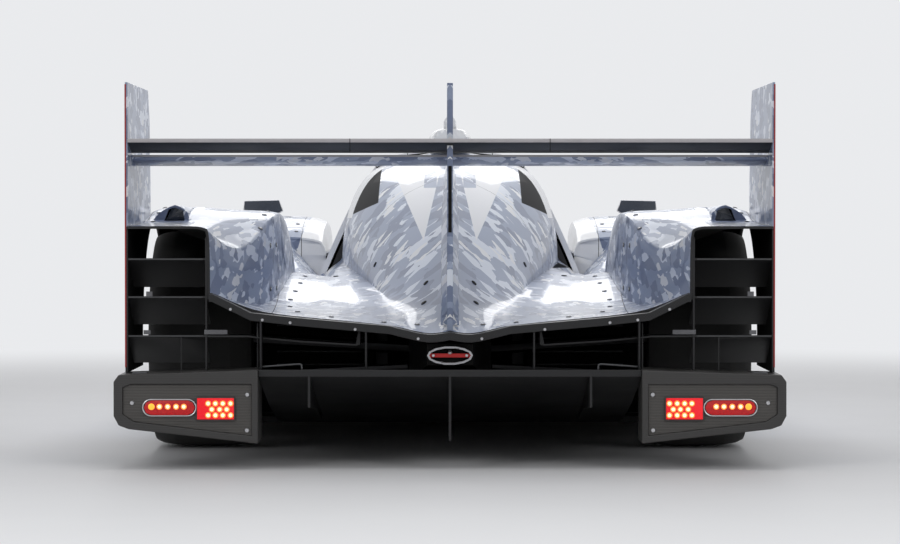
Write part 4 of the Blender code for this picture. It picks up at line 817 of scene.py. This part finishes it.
refined("knuckle_left", [STEEL], levels=0, bevel=0.002, body="left_knuckle")
refined("knuckle_right", [STEEL], levels=0, bevel=0.002, body="right_knuckle")


# The windscreen with its wiper and the door windows are dark tinted glass. Under each
# clear headlamp cover a black tray holds three round projectors and a white light strip.
def glass_recipe(start):
    smear = start.node("TexNoise", links={"Vector": object_place(start), "Scale": 4.0})
    return {"Base Color": (0.010, 0.011, 0.013, 1), "Roughness": smear * 0.04 + 0.02,
            "Alpha": 0.86, "IOR": 1.5}


def clear_recipe(start):
    smear = start.node("TexNoise", links={"Vector": object_place(start), "Scale": 9.0})
    return {"Base Color": (0.03, 0.032, 0.036, 1), "Roughness": smear * 0.03 + 0.01,
            "Alpha": 0.16, "IOR": 1.5}


def projector_recipe(start):
    swirl = start.node("TexNoise", links={"Vector": object_place(start), "Scale": 40.0})
    return {"Base Color": tinted(start, swirl, (0.10, 0.12, 0.16), (0.30, 0.33, 0.38)),
            "Roughness": 0.04, "Metallic": 0.6, "Coat Weight": 1.0}


def lamp_surface(y):
    """The height of the front fender's skin over the headlamps."""
    return 0.596 + (2.170 - y) * 0.78


GLASS = finish("tinted_glass", glass_recipe)
CLEAR = finish("clear_cover", clear_recipe)
skins["windscreen"] = refined("windscreen", [GLASS])
refined("door_glass_left", [GLASS], body="left_door", levels=1)
refined("door_glass_right", [GLASS], body="right_door", levels=1)
wiper = [on_skin("windscreen", (0.020 + 0.030 * step, 1.080 - 0.052 * step, 1.4), down)
         for step in range(9)]     # from its pivot up the screen
tubes("wiper_arm", [[place + normal * 0.010 for place, normal in filter(None, wiper)]],
      MATT, 0.0055)
tubes("wiper_blade", [[place + normal * 0.004 + Vector((0.016, 0.010, 0.0))
                       for place, normal in filter(None, wiper[4:])]], MATT, 0.0040)
heads("wiper_pivot", [wiper[0]], STEEL, 0.0160, 0.0300, sides=16)
STRIP_LIGHT = diode("strip_light", (0.95, 0.97, 1.0), 1.0)
LENS = finish("projector_lens", projector_recipe)
for side, sign in (("left", -1), ("right", 1)):
    refined("headlamp_" + side, [CLEAR], levels=0)
    tray = bmesh.new()
    rim = [(0.722, 2.290), (0.752, 2.232), (0.872, 2.192), (0.886, 2.240), (0.874, 2.362),
           (0.842, 2.392), (0.732, 2.386)]
    if sign > 0:
        rim = rim[::-1]
    rings = []
    for lower, share in ((0.030, 1.0), (0.110, 0.9)):
        ring = []
        for x, y in rim:
            ring.append(tray.verts.new((sign * (0.805 + (x - 0.805) * share),
                                        2.290 + (y - 2.290) * share,
                                        lamp_surface(y) - lower)))
        rings.append(ring)
    for a, b, c, d in zip(rings[0], rings[0][1:] + rings[0][:1],
                          rings[1][1:] + rings[1][:1], rings[1]):
        tray.faces.new((a, b, c, d))
    tray.faces.new(rings[1])
    mesh = bpy.data.meshes.new("headlamp_tray_" + side)
    tray.to_mesh(mesh)
    tray.free()
    piece = linked("headlamp_tray_" + side, mesh, [MATT])
    wall = piece.modifiers.new("wall", "SOLIDIFY")
    wall.thickness = 0.002
    strip = [(0.735, 2.318), (0.752, 2.262), (0.812, 2.236), (0.866, 2.214)]
    tubes("headlamp_strip_" + side,
          [[(sign * x, y, lamp_surface(y) - 0.034) for x, y in strip]],
          STRIP_LIGHT, 0.0050)
    aim = Vector((0, 0.75, 0.66))
    heads("projector_rings_" + side, [((sign * x, y, z), aim) for x, y, z in
                                      ((0.775, 2.330, 0.392), (0.828, 2.310, 0.408),
                                       (0.800, 2.262, 0.446))],
          STEEL, 0.0240, 0.0200, sides=24, top=0.85)
    heads("projectors_" + side, [((sign * x, y, z), aim) for x, y, z in
                                 ((0.775, 2.337, 0.398), (0.828, 2.317, 0.414),
                                  (0.800, 2.269, 0.452))],
          LENS, 0.0190, 0.0220, sides=24, top=0.5)


# Mirrors on stalks over the front fenders: carbon shells, dark mirror glass and a bright
# bead round it. The seat is trimmed in black felt, with two red shoulder belts, a buckle
# and a steering rim in front of it.
MIRROR_GLASS = worn_paint("mirror_glass", (0.09, 0.10, 0.12), 0.10, 1.0)
HARNESS = worn_paint("harness_red", (0.30, 0.016, 0.016), 0.75)


def lining_recipe(start):
    weave = start.node("TexNoise", links={"Vector": object_place(start), "Scale": 400.0})
    return {"Base Color": tinted(start, weave, (0.02, 0.02, 0.02), (0.06, 0.06, 0.06)),
            "Roughness": 0.9, "Normal": bumped(start, weave, 0.4, 0.0008)}


LINING = finish("seat_lining", lining_recipe)
for side, sign in (("left", -1), ("right", 1)):
    node = "mirror_" + side
    refined(node, [CARBON, MIRROR_GLASS], levels=0, bevel=0.001,
            pick=lambda centre, normal: int(normal.y < -0.9 and centre.y < 1.152))
    face = sorted({(round(v.co.x, 4), round(v.co.z, 4))
                   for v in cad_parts[node].data.vertices if v.co.y < 1.1505},
                  key=lambda spot: math.atan2(spot[1] - 0.789, spot[0] - sign * 0.782))
    tubes("mirror_bead_" + side, [[(x, 1.1500, z) for x, z in face]], BRIGHT,
          0.0022, closed=True)
refined("seat", [LINING], levels=0, bevel=0.012)
belt = [(-0.046, 0.700), (-0.020, 0.716), (0.010, 0.690), (0.060, 0.646), (0.092, 0.460),
        (0.118, 0.290), (0.170, 0.262)]
for side, sign in (("left", -1), ("right", 1)):
    bm = bmesh.new()
    rows = [[bm.verts.new((sign * (0.085 - 0.020 * step + edge), y, z + 0.004))
             for edge in (-0.024, 0.024)] for step, (y, z) in enumerate(belt)]
    for low, high in zip(rows, rows[1:]):
        bm.faces.new((low[0], low[1], high[1], high[0]))
    bmesh.ops.recalc_face_normals(bm, faces=bm.faces)
    mesh = bpy.data.meshes.new("shoulder_belt_" + side)
    bm.to_mesh(mesh)
    bm.free()
    strap = linked("shoulder_belt_" + side, mesh, [HARNESS])
    webbing = strap.modifiers.new("webbing", "SOLIDIFY")
    webbing.thickness = 0.003
heads("harness_buckle", [((0.0, 0.178, 0.266), Vector((0, 0.3, 0.95)))], STEEL,
      0.032, 0.012, sides=20, top=0.85)
tubes("steering_rim", [[(0.135 * math.cos(math.radians(turn)), 0.694,
                         0.505 + 0.075 * math.sin(math.radians(turn)))
                        for turn in range(-215, 40, 15)]], LINING, 0.013, sides=12)


# Wheels: slick tyres on satin black forged rims with a bright lip, each held by one red
# nut and six drive pins, with a carbon brake disc and a grey caliper inside.
def rubber_recipe(start):
    grain = start.node("TexNoise", links={"Vector": object_place(start), "Scale": 60.0,
                                          "Detail": 5.0})
    return {"Base Color": tinted(start, grain, (0.010, 0.010, 0.010), (0.030, 0.029, 0.028)),
            "Roughness": grain * 0.2 + 0.65, "Normal": bumped(start, grain, 0.2, 0.0008)}


def rim_recipe(start):
    fleck = start.node("TexNoise", links={"Vector": object_place(start), "Scale": 200.0})
    return {"Base Color": (0.018, 0.018, 0.020, 1), "Metallic": 0.8,
            "Roughness": fleck * 0.15 + 0.28}


RUBBER = finish("slick_rubber", rubber_recipe)
RIM = finish("satin_rim", rim_recipe)
DISC = worn_paint("carbon_disc", (0.085, 0.083, 0.082), 0.42, 0.4)
CALIPER = worn_paint("caliper_grey", (0.20, 0.20, 0.21), 0.35, 0.8)
AXLE_Z = 0.355
AXLES = {"front": (1.528, 0.950), "rear": (-1.620, 0.962)}     # y, tyre's outer face


def circle(x, axle_y, radius, count=48):
    """Points round a wheel's axle, at a distance from the car's middle."""
    return [(x, axle_y + radius * math.cos(math.tau * step / count),
             AXLE_Z + radius * math.sin(math.tau * step / count)) for step in range(count)]


for corner in ("front_left", "front_right", "rear_left", "rear_right"):
    axle_y, tyre_out = AXLES[corner.split("_")[0]]
    sign = -1 if corner.endswith("left") else 1
    body = "wheel_" + corner
    refined("tyre_" + corner, [RUBBER], levels=1, body=body)
    refined("rim_" + corner, [RIM], levels=0, bevel=0.002, body=body)
    tubes("rim_lip_" + corner, [circle(sign * (tyre_out - 0.012), axle_y, 0.2290)], BRIGHT,
          0.0022, sides=6, closed=True, body=body)
    section = [(0.135, 0.160), (0.105, 0.160), (0.105, 0.074), (0.074, 0.060),
               (0.074, 0.036), (0.082, 0.036), (0.082, 0.052), (0.115, 0.066),
               (0.135, 0.070)]
    bm = bmesh.new()
    hoops = [[bm.verts.new(spot) for spot in circle(sign * (tyre_out - depth), axle_y, radius)]
             for depth, radius in section]
    for low, high in zip(hoops, hoops[1:] + hoops[:1]):
        for a, b, c, d in zip(low, low[1:] + low[:1], high[1:] + high[:1], high):
            bm.faces.new((a, b, c, d))
    bmesh.ops.recalc_face_normals(bm, faces=bm.faces)
    mesh = bpy.data.meshes.new("brake_disc_" + corner)
    bm.to_mesh(mesh)
    bm.free()
    mesh.shade_smooth()
    mesh.set_sharp_from_angle(angle=math.radians(40))
    linked("brake_disc_" + corner, mesh, [DISC], body)
    holder = ("left" if sign < 0 else "right") + "_knuckle" if axle_y > 0 else "root"
    plates("brake_caliper_" + corner,
           [((sign * (tyre_out - inner), axle_y + near, AXLE_Z - tall),
             (sign * (tyre_out - outer), axle_y + far, AXLE_Z + tall))
            for inner, outer, near, far, tall in
            ((0.166, 0.141, 0.050, 0.176, 0.055), (0.099, 0.080, 0.090, 0.176, 0.055),
             (0.166, 0.080, 0.166, 0.178, 0.058))],
           CALIPER, bevel=0.006, body=holder)
    face_x, outward = sign * (tyre_out - 0.034), (sign, 0, 0)
    heads("wheel_nut_" + corner, [((face_x, axle_y, AXLE_Z), outward)], EDGE_RED,
          0.036, 0.026, sides=12, top=0.88, body=body)
    heads("drive_pins_" + corner,
          [(place, outward) for place in circle(face_x, axle_y, 0.055, 6)],
          STEEL, 0.0080, 0.010, sides=10, body=body)
